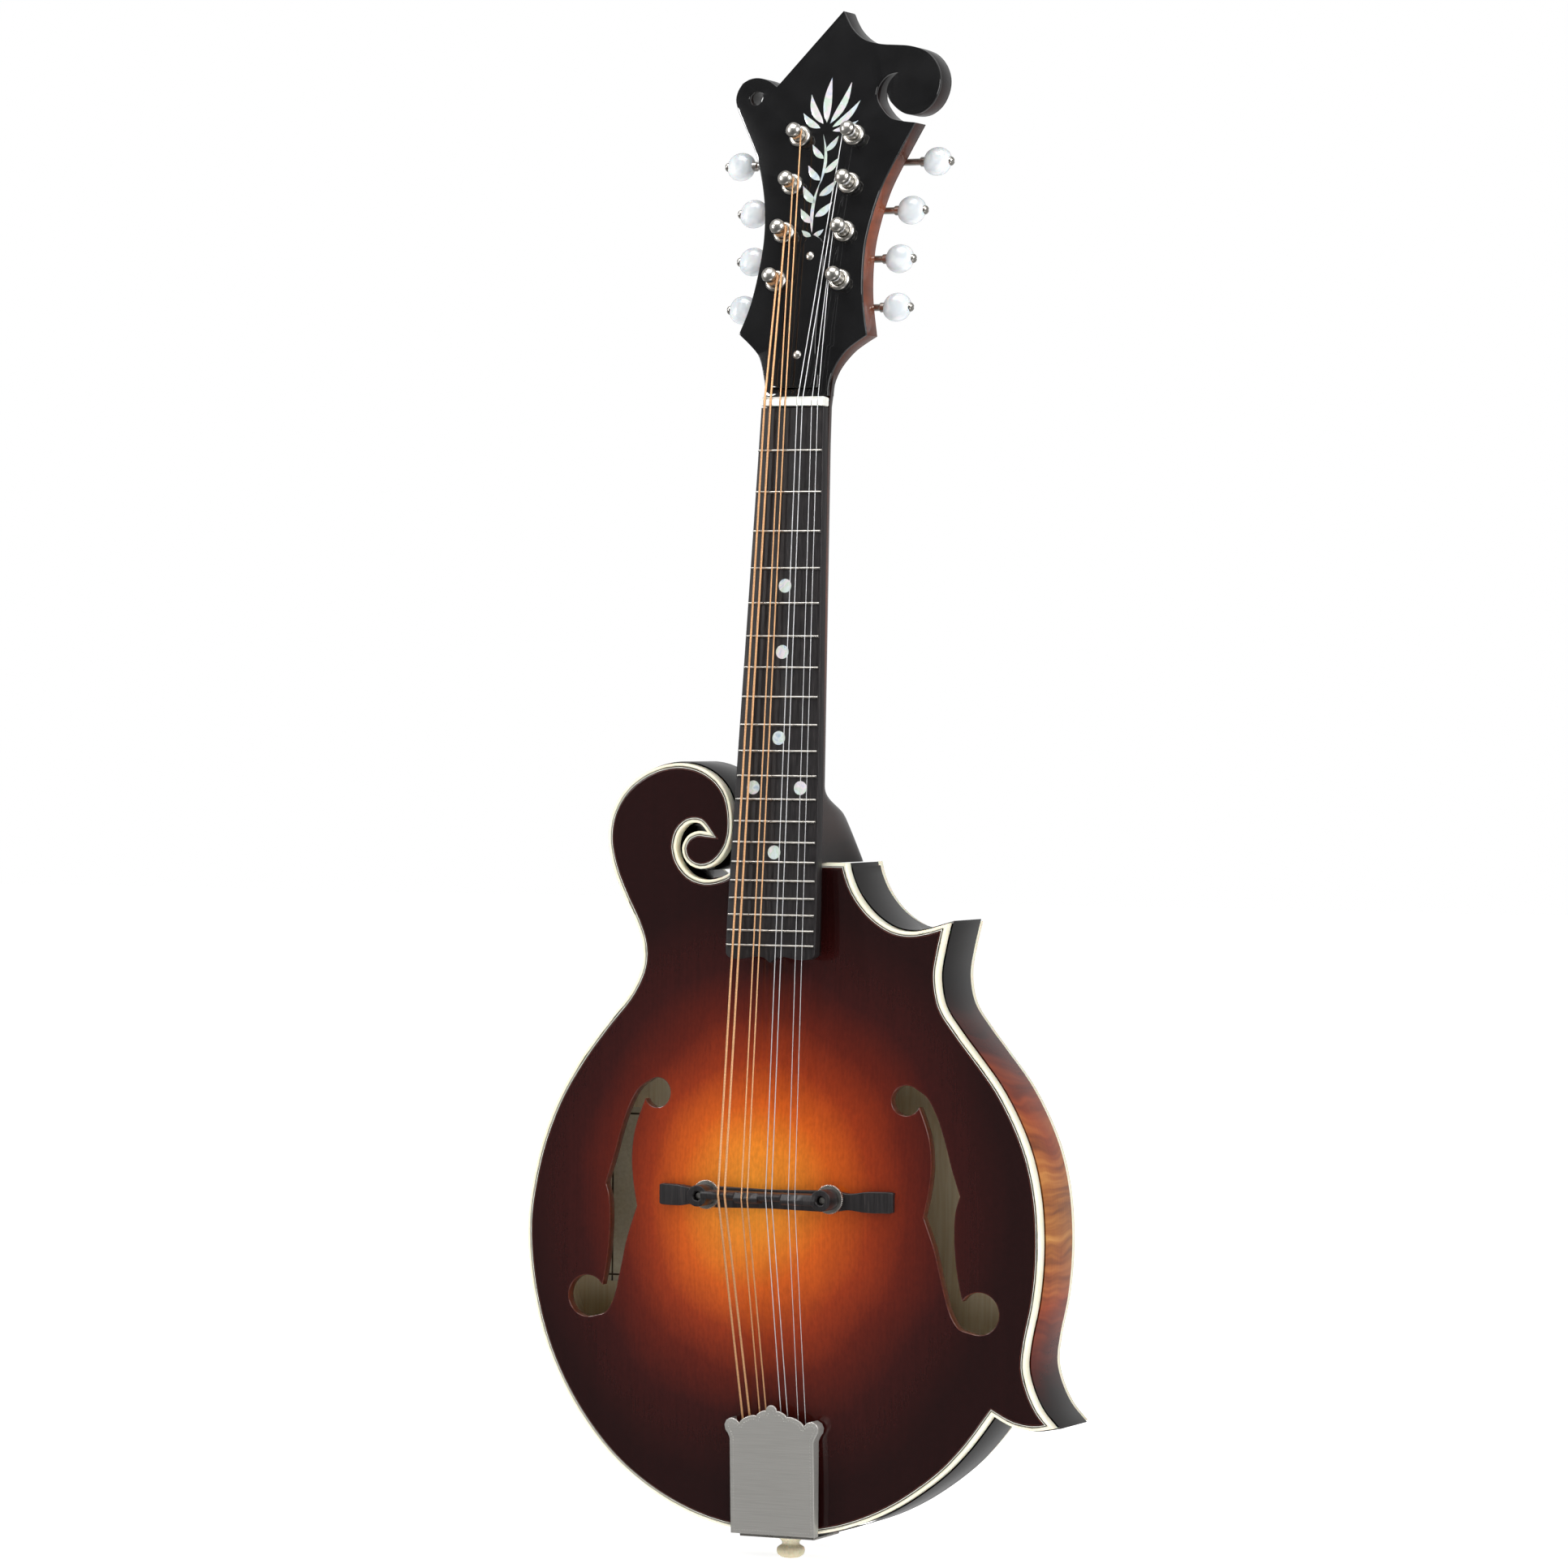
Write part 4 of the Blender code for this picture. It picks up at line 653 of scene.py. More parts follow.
# Flamed maple in two halves, whose stripes slant up from the middle seam like an open book
back_maple, tree, shader, spot = new_finish("lacquered_flamed_back", 0.38, coat=1.0, coat_roughness=0.04)
warp = add(tree, "ShaderNodeTexNoise", {"Vector": spot, "Scale": 14.0, "Detail": 2.0})
halves = add(tree, "ShaderNodeSeparateXYZ", {0: spot})
outward = add(tree, "ShaderNodeMath", {0: halves.outputs["X"]}, operation="ABSOLUTE")
slant = add(
    tree, "ShaderNodeMath", {0: outward.outputs[0], 1: 0.22, 2: halves.outputs["Z"]},
    operation="MULTIPLY_ADD",
)
wander = add(
    tree, "ShaderNodeMath", {0: warp.outputs[0], 1: 0.022, 2: slant.outputs[0]}, operation="MULTIPLY_ADD",
)
book = add(tree, "ShaderNodeCombineXYZ", {"X": outward.outputs[0], "Z": wander.outputs[0]})
stretch = add(tree, "ShaderNodeMapping", {"Vector": book.outputs[0], "Scale": (14, 1, 1 / FLAME)})
flame = add(
    tree, "ShaderNodeTexNoise",
    {"Vector": stretch.outputs[0], "Scale": 1.0, "Detail": 2.5, "Roughness": 0.55},
)
amber = ramp(tree, flame.outputs[0], [(0.36, "6B3413"), (0.5, "A8641F"), (0.62, "D09A45"), (0.74, "E3B267")])
BACK_REACH = (108 * mm, 142 * mm)
centred = add(
    tree, "ShaderNodeMapping",
    {
        "Vector": spot, "Location": (0, 0, -GLOW[1] / BACK_REACH[1]),
        "Scale": (1 / BACK_REACH[0], 0, 1 / BACK_REACH[1]),
    },
)
reach = add(tree, "ShaderNodeVectorMath", {0: centred.outputs[0]}, operation="LENGTH")
uneven = add(
    tree, "ShaderNodeMath", {0: warp.outputs[0], 1: 0.2, 2: reach.outputs["Value"]},
    operation="MULTIPLY_ADD",
)
stain = ramp(tree, uneven.outputs[0], [
    (0.3, "FFFFFF"), (0.55, "D9906A"), (0.75, "7E3222"), (0.95, "351412"), (1.0, "2A1010"),
])
dyed = add(tree, "ShaderNodeMix", {0: 1.0, 6: amber, 7: stain}, data_type="RGBA", blend_type="MULTIPLY")
tree.links.new(dyed.outputs[2], shader.inputs["Base Color"])

BACK_THICKNESS = 4.2 * mm
_, back_inside = carve(
    "carved_maple_back", [top_loops[0]], back_edge, 1, back_high.y - back_edge, back_edge - back_low.y,
    BACK_THICKNESS, [bare, back_maple, back_maple], PLATE_ROUND, stands_for=["back_plate"],
    finish_slot="stained_maple",
)


def skin_y(skin, x, z):
    """A carved surface's Y at a place, or at the nearest place that it has."""
    return (skin.ray_cast(Vector((x, -1, z)), BACK)[0] or skin.find_nearest(Vector((x, 0, z)))[0]).y


# Label: cream laid paper with a ruled border and no printing
LABEL = (-104 * mm, -52 * mm, -398 * mm, -318 * mm)  # its edges in X, then in Z
LABEL_STEP = 4 * mm
LABEL_FACES = (0.15 * mm, 0.35 * mm)  # over the wood
BORDER, BORDER_HALF = 3 * mm, 0.4 * mm
paper, tree, shader, spot = new_finish("cream_laid_paper", 0.85)
place = add(tree, "ShaderNodeSeparateXYZ", {0: spot})
lines = []
for axis, low, high in (("X", LABEL[0], LABEL[1]), ("Z", LABEL[2], LABEL[3])):
    middle, half = (low + high) / 2, (high - low) / 2 - BORDER
    off = add(tree, "ShaderNodeMath", {0: place.outputs[axis], 1: middle}, operation="SUBTRACT")
    size = add(tree, "ShaderNodeMath", {0: off.outputs[0]}, operation="ABSOLUTE")
    line = add(tree, "ShaderNodeMath", {0: size.outputs[0], 1: half, 2: BORDER_HALF}, operation="COMPARE")
    lines.append(line.outputs[0])
rule = add(tree, "ShaderNodeMath", {0: lines[0], 1: lines[1]}, operation="MAXIMUM")
laid = add(tree, "ShaderNodeTexNoise", {"Vector": spot, "Scale": 700.0})
sheet = ramp(tree, laid.outputs[0], [(0.3, "CFC6AE"), (0.7, "DED6C0")])
ruled = add(tree, "ShaderNodeMix", {0: rule.outputs[0], 6: sheet, 7: linear("4A3A2A")}, data_type="RGBA")
tree.links.new(ruled.outputs[2], shader.inputs["Base Color"])
columns = int((LABEL[1] - LABEL[0]) / LABEL_STEP) + 1
rows = int((LABEL[3] - LABEL[2]) / LABEL_STEP) + 1
verts = []
for lift in LABEL_FACES:
    for row in range(rows):
        for column in range(columns):
            x, z = LABEL[0] + column * LABEL_STEP, LABEL[2] + row * LABEL_STEP
            verts.append((x, skin_y(back_inside, x, z) - lift, z))
faces = []
for row in range(rows - 1):
    for column in range(columns - 1):
        a = row * columns + column
        faces += [(a, a + columns, a + columns + 1, a + 1)]
        faces += [tuple(i + rows * columns for i in (a, a + 1, a + columns + 1, a + columns))]
edge = [*range(columns), *(r * columns + columns - 1 for r in range(1, rows))]
edge += range(rows * columns - 2, (rows - 1) * columns - 1, -1)
edge += [r * columns for r in range(rows - 2, 0, -1)]
for a, b in zip(edge, edge[1:] + edge[:1]):
    faces.append((a, b, b + rows * columns, a + rows * columns))
put("inside_label", verts, faces, [paper], finish_slot="bare_wood")


# The neck: one piece of maple, a half-round shaft that deepens into the heel and carries the headstock's
# core at its other end. Its stain is near black with a redder patch in the headstock's treble side.
NECK_PITCH = math.radians(4.778)
HEAD_TILT = math.radians(17.0)
HEAD_FRONT = 3.6 * mm  # the headstock's face behind the nut's foot
OVERLAY = 1.9 * mm
HEAD_DEPTH = 13.5 * mm  # along Y
BOARD_THICKNESS = 5.5 * mm
NUT_WIDTH, NUT_LENGTH = 30.4 * mm, 4.6 * mm
WIDENING = 0.052  # the fretboard's, for each unit of length
NECK_DEPTH, DEPTH_AT_HEEL = 15.0 * mm, 16.8 * mm
HEEL_LENGTH, HEEL_HALF_WIDTH, HEEL_BASS_LIMIT = 34.0 * mm, 15.5 * mm, 22.5 * mm
SHOULDER = 30.2 * mm
DEEPENING = 0.44  # the share of the heel's height over which it reaches the back
SHOULDER_CURVE, HEEL_CURVE = 0.75, 0.55
SHAFT_END = 26 * mm  # inside the headstock's core
THIN_CORE, THIN_END, THICK_START = 6.5 * mm, 5 * mm, 34 * mm


def board_point(along, across, height):
    """A place over the fretboard, from the nut's edge towards the bridge."""
    s, c = math.sin(NECK_PITCH), math.cos(NECK_PITCH)
    return Vector((across, -along * s - height * c, -along * c + height * s))


def board_y(z, height):
    """The Y of a plane that runs along the fretboard at a height over it."""
    return z * math.tan(NECK_PITCH) - height / math.cos(NECK_PITCH)


def face_point(across, up, depth):
    """A place in the headstock's own frame: depth counts from its face backwards."""
    s, c = math.sin(HEAD_TILT), math.cos(HEAD_TILT)
    return Vector((across, HEAD_FRONT + up * s + depth * c, up * c - depth * s))


def face_y(z, depth=0.0):
    """The Y of a plane that runs along the headstock's face."""
    return HEAD_FRONT + z * math.tan(HEAD_TILT) + depth / math.cos(HEAD_TILT)


def sloped(y_of, front, rear):
    """A function for board() that gives a piece two faces along a slope."""
    return lambda places: tuple(np.array([y_of(z, level) for z in places[:, 1]]) for level in (front, rear))


def faced(verts, faces):
    """The faces of a closed skin, all turned over if they look inwards."""
    volume = 0
    for face in faces:
        for b, c in zip(face[1:], face[2:]):
            volume += verts[face[0]].dot(verts[b].cross(verts[c]))
    return faces if volume > 0 else [tuple(face)[::-1] for face in faces]


def lofted(name, rings, finishes, **kept):
    """A closed skin through rings of equally many points, with flat ends."""
    size = len(rings[0])
    verts = [Vector(p) for ring in rings for p in ring]
    faces = [tuple(range(size))[::-1], tuple(range((len(rings) - 1) * size, len(rings) * size))]
    for first in range(0, (len(rings) - 1) * size, size):
        for i in range(size):
            j = (i + 1) % size
            faces.append((first + i, first + j, first + size + j, first + size + i))
    return put(name, verts, faced(verts, faces), finishes, **kept)


def combine(piece, tool, operation="UNION"):
    """Joins a tool to a piece or cuts it away, and deletes the tool."""
    modifier = piece.modifiers.new("combine", "BOOLEAN")
    modifier.object = tool
    modifier.operation = operation
    modifier.solver = "EXACT"
    bpy.context.view_layer.update()
    depsgraph = bpy.context.evaluated_depsgraph_get()
    fresh = bpy.data.meshes.new_from_object(piece.evaluated_get(depsgraph), depsgraph=depsgraph)
    piece.modifiers.clear()
    piece.data = fresh
    fresh.set_sharp_from_angle(angle=math.radians(SHARP))
    bpy.data.objects.remove(tool)


def adopt(piece, body, finish_slot, *nodes):
    """Hangs a finished piece on a body and lets it stand for CAD nodes."""
    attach(piece, body)
    if nodes:
        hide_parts(*nodes)
    return piece


# Stained maple under gloss: almost black, warm where light gets through it
neck_maple, tree, shader, spot = new_finish("dark_stained_maple", 0.35, coat=1.0, coat_roughness=0.04)
place = add(tree, "ShaderNodeSeparateXYZ", {0: spot})
soft = add(tree, "ShaderNodeTexNoise", {"Vector": spot, "Scale": 40.0, "Detail": 3.0})
raised = add(
    tree, "ShaderNodeMath", {0: soft.outputs[0], 1: 0.02, 2: place.outputs["Z"]}, operation="MULTIPLY_ADD",
)
span = add(tree, "ShaderNodeMapRange", {"Value": raised.outputs[0], "From Min": -0.2, "From Max": 0.19})
stain = ramp(tree, span.outputs[0], [
    (0.0, "0D0908"), (0.12, "2A120B"), (0.3, "57260F"), (0.45, "3A190D"), (0.56, "1A0D0A"), (0.66, "6B331C"),
    (0.78, "7A3C22"), (0.86, "2B1410"), (0.92, "0C090A"),
])
curl = add(tree, "ShaderNodeMapping", {"Vector": spot, "Scale": (30, 30, 180)})
flame = add(tree, "ShaderNodeTexNoise", {"Vector": curl.outputs[0], "Scale": 1.0, "Detail": 3.0})
figure = add(
    tree, "ShaderNodeMapRange",
    {"Value": flame.outputs[0], "From Min": 0.3, "From Max": 0.7, "To Min": 0.7, "To Max": 1.25},
)
shaded = add(tree, "ShaderNodeVectorMath", {0: stain, "Scale": figure.outputs[0]}, operation="SCALE")
tree.links.new(shaded.outputs[0], shader.inputs["Base Color"])


def neck_ring(z, front, points=33):
    """The neck's section at a height: flat in front, round behind, spread into the heel at the body."""
    along = max(0.0, z / joint_z)
    rise = min(max((HEEL_LENGTH - (z - joint_z)) / HEEL_LENGTH, 0.0), 1.0)
    deepen = min(rise / DEEPENING, 1.0)
    deepen = deepen * deepen * (3 - 2 * deepen)
    depth = NECK_DEPTH + (DEPTH_AT_HEEL - NECK_DEPTH) * along
    depth += (back_edge - front - depth) * deepen
    wide = (NUT_WIDTH + WIDENING * max(0.0, -z)) / 2
    back_wide = max(wide + (HEEL_HALF_WIDTH - wide) * deepen, SHOULDER * rise**SHOULDER_CURVE)
    out = []
    for i in range(points):
        turn = math.pi * i / (points - 1)
        across, down = math.cos(turn), max(0.0, math.sin(turn))
        square = 1 - HEEL_CURVE * deepen
        limit = HEEL_BASS_LIMIT if across < 0 else 1.0
        across = math.copysign(abs(across) ** square, across)
        reach = wide + (min(back_wide, limit) - wide) * down
        out.append(Vector((across * reach, front + depth * down**square, z)))
    return out


BOARD_GAP, HEEL_GAP = 0.3 * mm, 0.2 * mm
SHAFT_COVER = 2.2 * mm  # from the headstock's face to the front of the shaft behind it
board_back = BOARD_THICKNESS + BOARD_GAP
heel_end = joint_z - HEEL_GAP
stations = [SHAFT_END * i / 4 for i in range(4, 0, -1)] + [joint_z * i / 12 for i in range(10)]
stations += [joint_z + HEEL_LENGTH * (1 - i / 30) for i in range(30)] + [heel_end]
fronts = [max(board_y(z, -board_back), face_y(z, SHAFT_COVER) + 0.5 * mm) for z in stations]
rings = [neck_ring(z, front) for z, front in zip(stations, fronts)]
neck = lofted("maple_neck", rings, [neck_maple], body=None)

overlay_loops = face_loops("headstock_veneer", FRONT)
HEAD_STEP, BORE_STEP, WIDEST_BORE = 1.4 * mm, 0.5 * mm, 10 * mm
head_outline = counter(refined(flat(overlay_loops[0]), HEAD_STEP))
overlay_holes = [counter(refined(flat(loop), BORE_STEP))[::-1] for loop in overlay_loops[1:]]
heights = [[p.y for p in loop] for loop in overlay_holes]
bores = [loop for loop, up in zip(overlay_holes, heights) if max(up) - min(up) < WIDEST_BORE]


def core_depths(places):
    """The core's front follows the face; its back thins towards the shaft."""
    share = np.clip((places[:, 1] - THIN_END) / (THICK_START - THIN_END), 0, 1)
    thick = THIN_CORE + (HEAD_DEPTH * math.cos(HEAD_TILT) - THIN_CORE) * share**2 * (3 - 2 * share)
    front = np.array([face_y(z, OVERLAY) for z in places[:, 1]])
    return front, front + (thick - OVERLAY) / math.cos(HEAD_TILT)


core = board(
    "head_core", [head_outline, *bores], core_depths, [neck_maple], grid=4 * mm,
    rounded=0.05 * mm, rounded_back=0.8 * mm, body=None,
)
combine(neck, core)
EXTENSION_INSET, EXTENSION_END = 2 * mm, -245.0 * mm
extension_half = (NUT_WIDTH - WIDENING * joint_z) / 2 - EXTENSION_INSET
rows = [heel_end + 0.5 * mm]
rows += [heel_end + (EXTENSION_END - heel_end) * (i + 1) / 12 for i in range(12)]
rings = []
for z in rows:
    across = [extension_half * (i / 4 - 1) for i in range(9)]
    under = [Vector((x, skin_y(top_skin, x, z) - 0.05 * mm, z)) for x in across]
    rings.append([Vector((x, board_y(z, -board_back), z)) for x in across] + under[::-1])
combine(neck, lofted("extension", rings, [neck_maple], body=None))
adopt(neck, "root", "stained_maple", "neck")


# The headstock's face: a thin overlay lacquered black like glass, with an ornament of pearl let in flush.
# The ornament is a branch with paired leaves and a loose spray of slender ones at its top.
PEARL_DEPTH = 0.6 * mm

# Black lacquer: deep and mirror-like, with the faintest orange peel
gloss_black, tree, shader, spot = new_finish("black_gloss_lacquer", 0.3, coat=1.0, coat_roughness=0.02)
peel = add(tree, "ShaderNodeTexNoise", {"Vector": spot, "Scale": 90.0, "Detail": 1.0})
tree.links.new(ramp(tree, peel.outputs[0], [(0.3, "0A0A0B"), (0.7, "101011")]), shader.inputs["Base Color"])
waves = add(tree, "ShaderNodeBump", {"Height": peel.outputs[0], "Strength": 0.04, "Distance": 0.0005})
tree.links.new(waves.outputs[0], shader.inputs["Coat Normal"])

# Mother-of-pearl: silvery patches that turn pink, green and blue from one to the next
pearl, tree, shader, spot = new_finish("mother_of_pearl", 0.18, coat=0.9, coat_roughness=0.03)
cells = add(tree, "ShaderNodeTexNoise", {"Vector": spot, "Scale": 130.0, "Detail": 3.0, "Distortion": 1.2})
nacre = ramp(tree, cells.outputs[0], [
    (0.3, "AFC3D2"), (0.42, "DCE6EA"), (0.5, "C9DCCB"), (0.58, "E9DDE2"), (0.7, "B9CAE0"),
])
tree.links.new(nacre, shader.inputs["Base Color"])
shader.inputs["Metallic"].default_value = 0.25

board(
    "headstock_overlay", [head_outline, *overlay_holes], sloped(face_y, 0.0, OVERLAY - 0.02 * mm),
    [gloss_black], rounded=0.35 * mm, rounded_back=0.05 * mm, stands_for=["headstock_veneer"],
    finish_slot="black_lacquer",
)


def leaf(foot, tip, width, bend=0.0, points=9):
    """A pointed leaf's outline from foot to tip, bent sideways, in the headstock's across and up."""
    foot, tip = Vector(foot) * mm, Vector(tip) * mm
    along = tip - foot
    side = Vector((-along.y, along.x)).normalized()
    middle = [
        foot + along * t + side * bend * mm * math.sin(math.pi * t)
        for t in (i / points for i in range(points + 1))
    ]
    wide = [width * mm / 2 * math.sin(math.pi * (i / points) ** 0.8) for i in range(points + 1)]
    right_edge = [m - side * w for m, w in zip(middle[:-1], wide[:-1])]
    left_edge = [m + side * w for m, w in zip(middle[1:][::-1], wide[1:][::-1])]
    outline = right_edge + left_edge
    return counter([Vector((p.x, p.y * math.cos(HEAD_TILT))) for p in outline])


leaves = [
    leaf((-3.4, 83), (-2.6, 108), 1.7, 1.6), leaf((-2.6, 106.5), (-4.2, 131), 1.5, -2.0),
    leaf((-3.9, 88), (-10.5, 95), 3.4, 0.8), leaf((-2.9, 91), (4.6, 98), 3.6, -0.8),
    leaf((-3.6, 97.5), (-10.8, 106), 3.6, 0.9), leaf((-2.2, 101), (5.4, 108.5), 3.6, -0.9),
    leaf((-2.8, 108.5), (-9.6, 116), 3.2, 0.8), leaf((-1.5, 112), (5.2, 119.5), 3.2, -0.8),
    leaf((-2.4, 119), (-8.8, 126), 2.8, 0.7), leaf((-2.2, 122.5), (3.6, 130), 2.8, -0.7),
    leaf((-3.6, 81.5), (-8.6, 84.6), 2.4, 0.4), leaf((-2.8, 81.5), (2.2, 84.8), 2.4, -0.4),
    leaf((-6.2, 134), (-15.5, 141.5), 3.2, 1.2), leaf((-4.9, 136), (-12.5, 150.5), 3.6, 1.5),
    leaf((-3.2, 136.5), (-3.4, 158.5), 4.0, 0.8), leaf((-1.5, 136), (6.6, 156), 3.6, -1.4),
    leaf((-0.2, 134.2), (12.0, 147), 3.2, -1.4), leaf((0.2, 132.4), (12.4, 137.2), 2.6, -1.0),
]
for number, outline in enumerate(leaves):
    board(
        f"pearl_leaf_{number + 1}", [outline], sloped(face_y, -0.03 * mm, PEARL_DEPTH), [pearl],
        rounded=0.03 * mm, finish_slot="pearl_button",
    )


# The truss rod cover, a thin black plate held by two nickel screws, and the hexagonal rod nut under it.
COVER_LIFT, COVER_THICKNESS = 0.05 * mm, 1.6 * mm
COVER_SCREWS = ((-2.0 * mm, 71.4 * mm), (-1.9 * mm, 24.2 * mm))
SCREW_RADIUS, SCREW_HEIGHT = 2.0 * mm, 0.9 * mm

# Polished nickel: bright, a little warm, with soft wear in its gloss
nickel, tree, shader, spot = new_finish("polished_nickel", 0.16, metallic=1.0)
wear = add(tree, "ShaderNodeTexNoise", {"Vector": spot, "Scale": 260.0, "Detail": 3.0})
tree.links.new(ramp(tree, wear.outputs[0], [(0.3, "CBC7BF"), (0.7, "E8E4DD")]), shader.inputs["Base Color"])
gloss = add(tree, "ShaderNodeMapRange", {"Value": wear.outputs[0], "To Min": 0.2, "To Max": 0.38})
tree.links.new(gloss.outputs[0], shader.inputs["Roughness"])


def scatter_tree(name, shape):
    """A Geometry Nodes tree that sets one shape on every point, turned alike, sized by its own point."""
    tree = bpy.data.node_groups.new(name, "GeometryNodeTree")
    kinds = {
        "Points": "Geometry", "Radius": "Float", "Height": "Float", "Turn": "Vector", "Finish": "Material",
    }
    for label, kind in kinds.items():
        tree.interface.new_socket(label, in_out="INPUT", socket_type=f"NodeSocket{kind}")
    tree.interface.new_socket("Geometry", in_out="OUTPUT", socket_type="NodeSocketGeometry")
    given = add(tree, "NodeGroupInput").outputs
    turn = add(tree, "FunctionNodeEulerToRotation", {0: given["Turn"]})
    size = add(tree, "GeometryNodeInputNamedAttribute", {"Name": "size"}, data_type="FLOAT_VECTOR")
    every = add(tree, "GeometryNodeInstanceOnPoints", {
        "Points": given["Points"], "Instance": shape(tree, given), "Rotation": turn.outputs[0],
        "Scale": size.outputs[0],
    })
    real = add(tree, "GeometryNodeRealizeInstances", {0: every.outputs[0]})
    painted = add(tree, "GeometryNodeSetMaterial", {"Geometry": real.outputs[0], "Material": given["Finish"]})
    tree.links.new(painted.outputs[0], add(tree, "NodeGroupOutput").inputs[0])
    return tree


def scattered(name, tree, places, finish, finish_slot, body="root", turn=(0, 0, 0), sizes=None, **inputs):
    """A piece made of one shape at every place, converted to a plain mesh."""
    mesh = bpy.data.meshes.new(name)
    mesh.from_pydata([tuple(p) for p in places], [], [])
    sizes = [(1, 1, 1)] * len(places) if sizes is None else sizes
    mesh.attributes.new("size", "FLOAT_VECTOR", "POINT").data.foreach_set(
        "vector", np.array(sizes, np.float32).ravel(),
    )
    made = bpy.data.objects.new(name, mesh)
    bpy.context.scene.collection.objects.link(made)
    modifier = made.modifiers.new("scatter", "NODES")
    modifier.node_group = tree
    given = {"Finish": finish, "Turn": turn, **{label.title(): value for label, value in inputs.items()}}
    for item in tree.interface.items_tree:
        if item.in_out == "INPUT" and item.name in given:
            modifier[item.identifier] = given[item.name]
    bpy.context.view_layer.update()
    depsgraph = bpy.context.evaluated_depsgraph_get()
    fresh = bpy.data.meshes.new_from_object(made.evaluated_get(depsgraph), depsgraph=depsgraph)
    made.modifiers.clear()
    made.data = fresh
    fresh.shade_smooth()
    fresh.set_sharp_from_angle(angle=math.radians(SHARP))
    return adopt(made, body, finish_slot)


def slotted_dome(tree, given):
    """A screw's domed head with its slot."""
    wide = add(tree, "ShaderNodeCombineXYZ", {0: given["Radius"], 1: given["Radius"], 2: given["Height"]})
    ball = add(tree, "GeometryNodeMeshUVSphere", {"Segments": 28, "Rings": 14, "Radius": 1.0})
    dome = add(tree, "GeometryNodeTransform", {"Geometry": ball.outputs[0], "Scale": wide.outputs[0]})
    cutter = add(tree, "GeometryNodeMeshCube", {"Size": (0.3, 3.0, 0.9)})
    place = add(tree, "ShaderNodeCombineXYZ", {2: given["Height"]})
    slit = add(tree, "GeometryNodeTransform", {
        "Geometry": cutter.outputs[0], "Scale": wide.outputs[0], "Translation": place.outputs[0],
    })
    return add(
        tree, "GeometryNodeMeshBoolean", {0: dome.outputs[0], 1: slit.outputs[0]}, operation="DIFFERENCE",
    ).outputs[0]


screw_tree = scatter_tree("screw_heads", slotted_dome)
face_turn = (math.pi / 2 - HEAD_TILT, 0, 0)
cover_loop = counter(refined(flat(face_loops("truss_rod_cover", FRONT)[0]), 1.5 * mm))
board(
    "truss_rod_cover_plate", [cover_loop], sloped(face_y, -COVER_LIFT - COVER_THICKNESS, -COVER_LIFT),
    [gloss_black], rounded=0.4 * mm, rounded_back=0.05 * mm, stands_for=["truss_rod_cover"],
    finish_slot="black_lacquer",
)
scattered(
    "truss_cover_screws", screw_tree,
    [face_point(x, up, -COVER_LIFT - COVER_THICKNESS) for x, up in COVER_SCREWS], nickel, "nickel",
    turn=face_turn, radius=SCREW_RADIUS, height=SCREW_HEIGHT,
)


def eased(points, radius, closed=False, steps=4):
    """A path with every corner turned through a small curve."""
    count = len(points)
    out = []
    for i, corner in enumerate(points):
        if not closed and i in (0, count - 1):
            out.append(Vector(corner))
            continue
        corner, before, after = Vector(corner), Vector(points[i - 1]), Vector(points[(i + 1) % count])
        start = corner + (before - corner).normalized() * min(radius, (before - corner).length * 0.45)
        end = corner + (after - corner).normalized() * min(radius, (after - corner).length * 0.45)
        for k in range(steps + 1):
            t = k / steps
            out.append(start * (1 - t) ** 2 + corner * 2 * t * (1 - t) + end * t**2)
    return out


def aimed(place, along):
    """A matrix whose Z axis points along a direction from a place."""
    turn = Vector(along).normalized().to_track_quat("Z", "Y").to_matrix().to_4x4()
    return Matrix.Translation(Vector(place)) @ turn


def turned(name, profile, place, sides, finishes, closed=False, cut=None, **kept):
    """A piece turned on a lathe: radius and distance along the place's Z axis. A cut takes more off the
    radius at an angle and a distance; a closed profile makes a ring."""
    rings = []
    for radius, along in profile:
        angles = [2 * math.pi * i / sides for i in range(sides)]
        less = [cut(angle, along, radius) if cut else 0 for angle in angles]
        rings.append([
            place @ Vector(((radius - d) * math.cos(a), (radius - d) * math.sin(a), along))
            for a, d in zip(angles, less)
        ])
    if not closed:
        return lofted(name, rings, finishes, **kept)
    verts = [p for ring in rings for p in ring]
    faces = []
    for k in range(len(rings)):
        below, above = k * sides, (k + 1) % len(rings) * sides
        faces += [
            (below + i, below + (i + 1) % sides, above + (i + 1) % sides, above + i) for i in range(sides)
        ]
    return put(name, verts, faced(verts, faces), finishes, **kept)


face_up = face_point(0, 1, 0) - face_point(0, 0, 0)
face_in = face_point(0, 0, 1) - face_point(0, 0, 0)
ROD_ACROSS, ROD_DEPTH = -1.6 * mm, 5.4 * mm
ROD_NUT_RADIUS, ROD_NUT_LENGTH = 3.0 * mm, 11.0 * mm
POCKET_RADIUS, POCKET_LENGTH = 3.9 * mm, 24 * mm
TIP = 0.1 * mm  # the radius at which a turned end closes
rod_place = aimed(face_point(ROD_ACROSS, 9.5 * mm, ROD_DEPTH), face_up)
rod_profile = eased(
    [(TIP, 0), (ROD_NUT_RADIUS, 0), (ROD_NUT_RADIUS, ROD_NUT_LENGTH), (TIP, ROD_NUT_LENGTH)], 0.4 * mm,
)
pocket = aimed(face_point(ROD_ACROSS, 8.6 * mm, ROD_DEPTH), face_up)
pocket_profile = [(POCKET_RADIUS, 0), (POCKET_RADIUS, POCKET_LENGTH)]
tool = turned("pocket", pocket_profile, pocket, 32, [neck_maple], body=None)
combine(neck, tool, "DIFFERENCE")
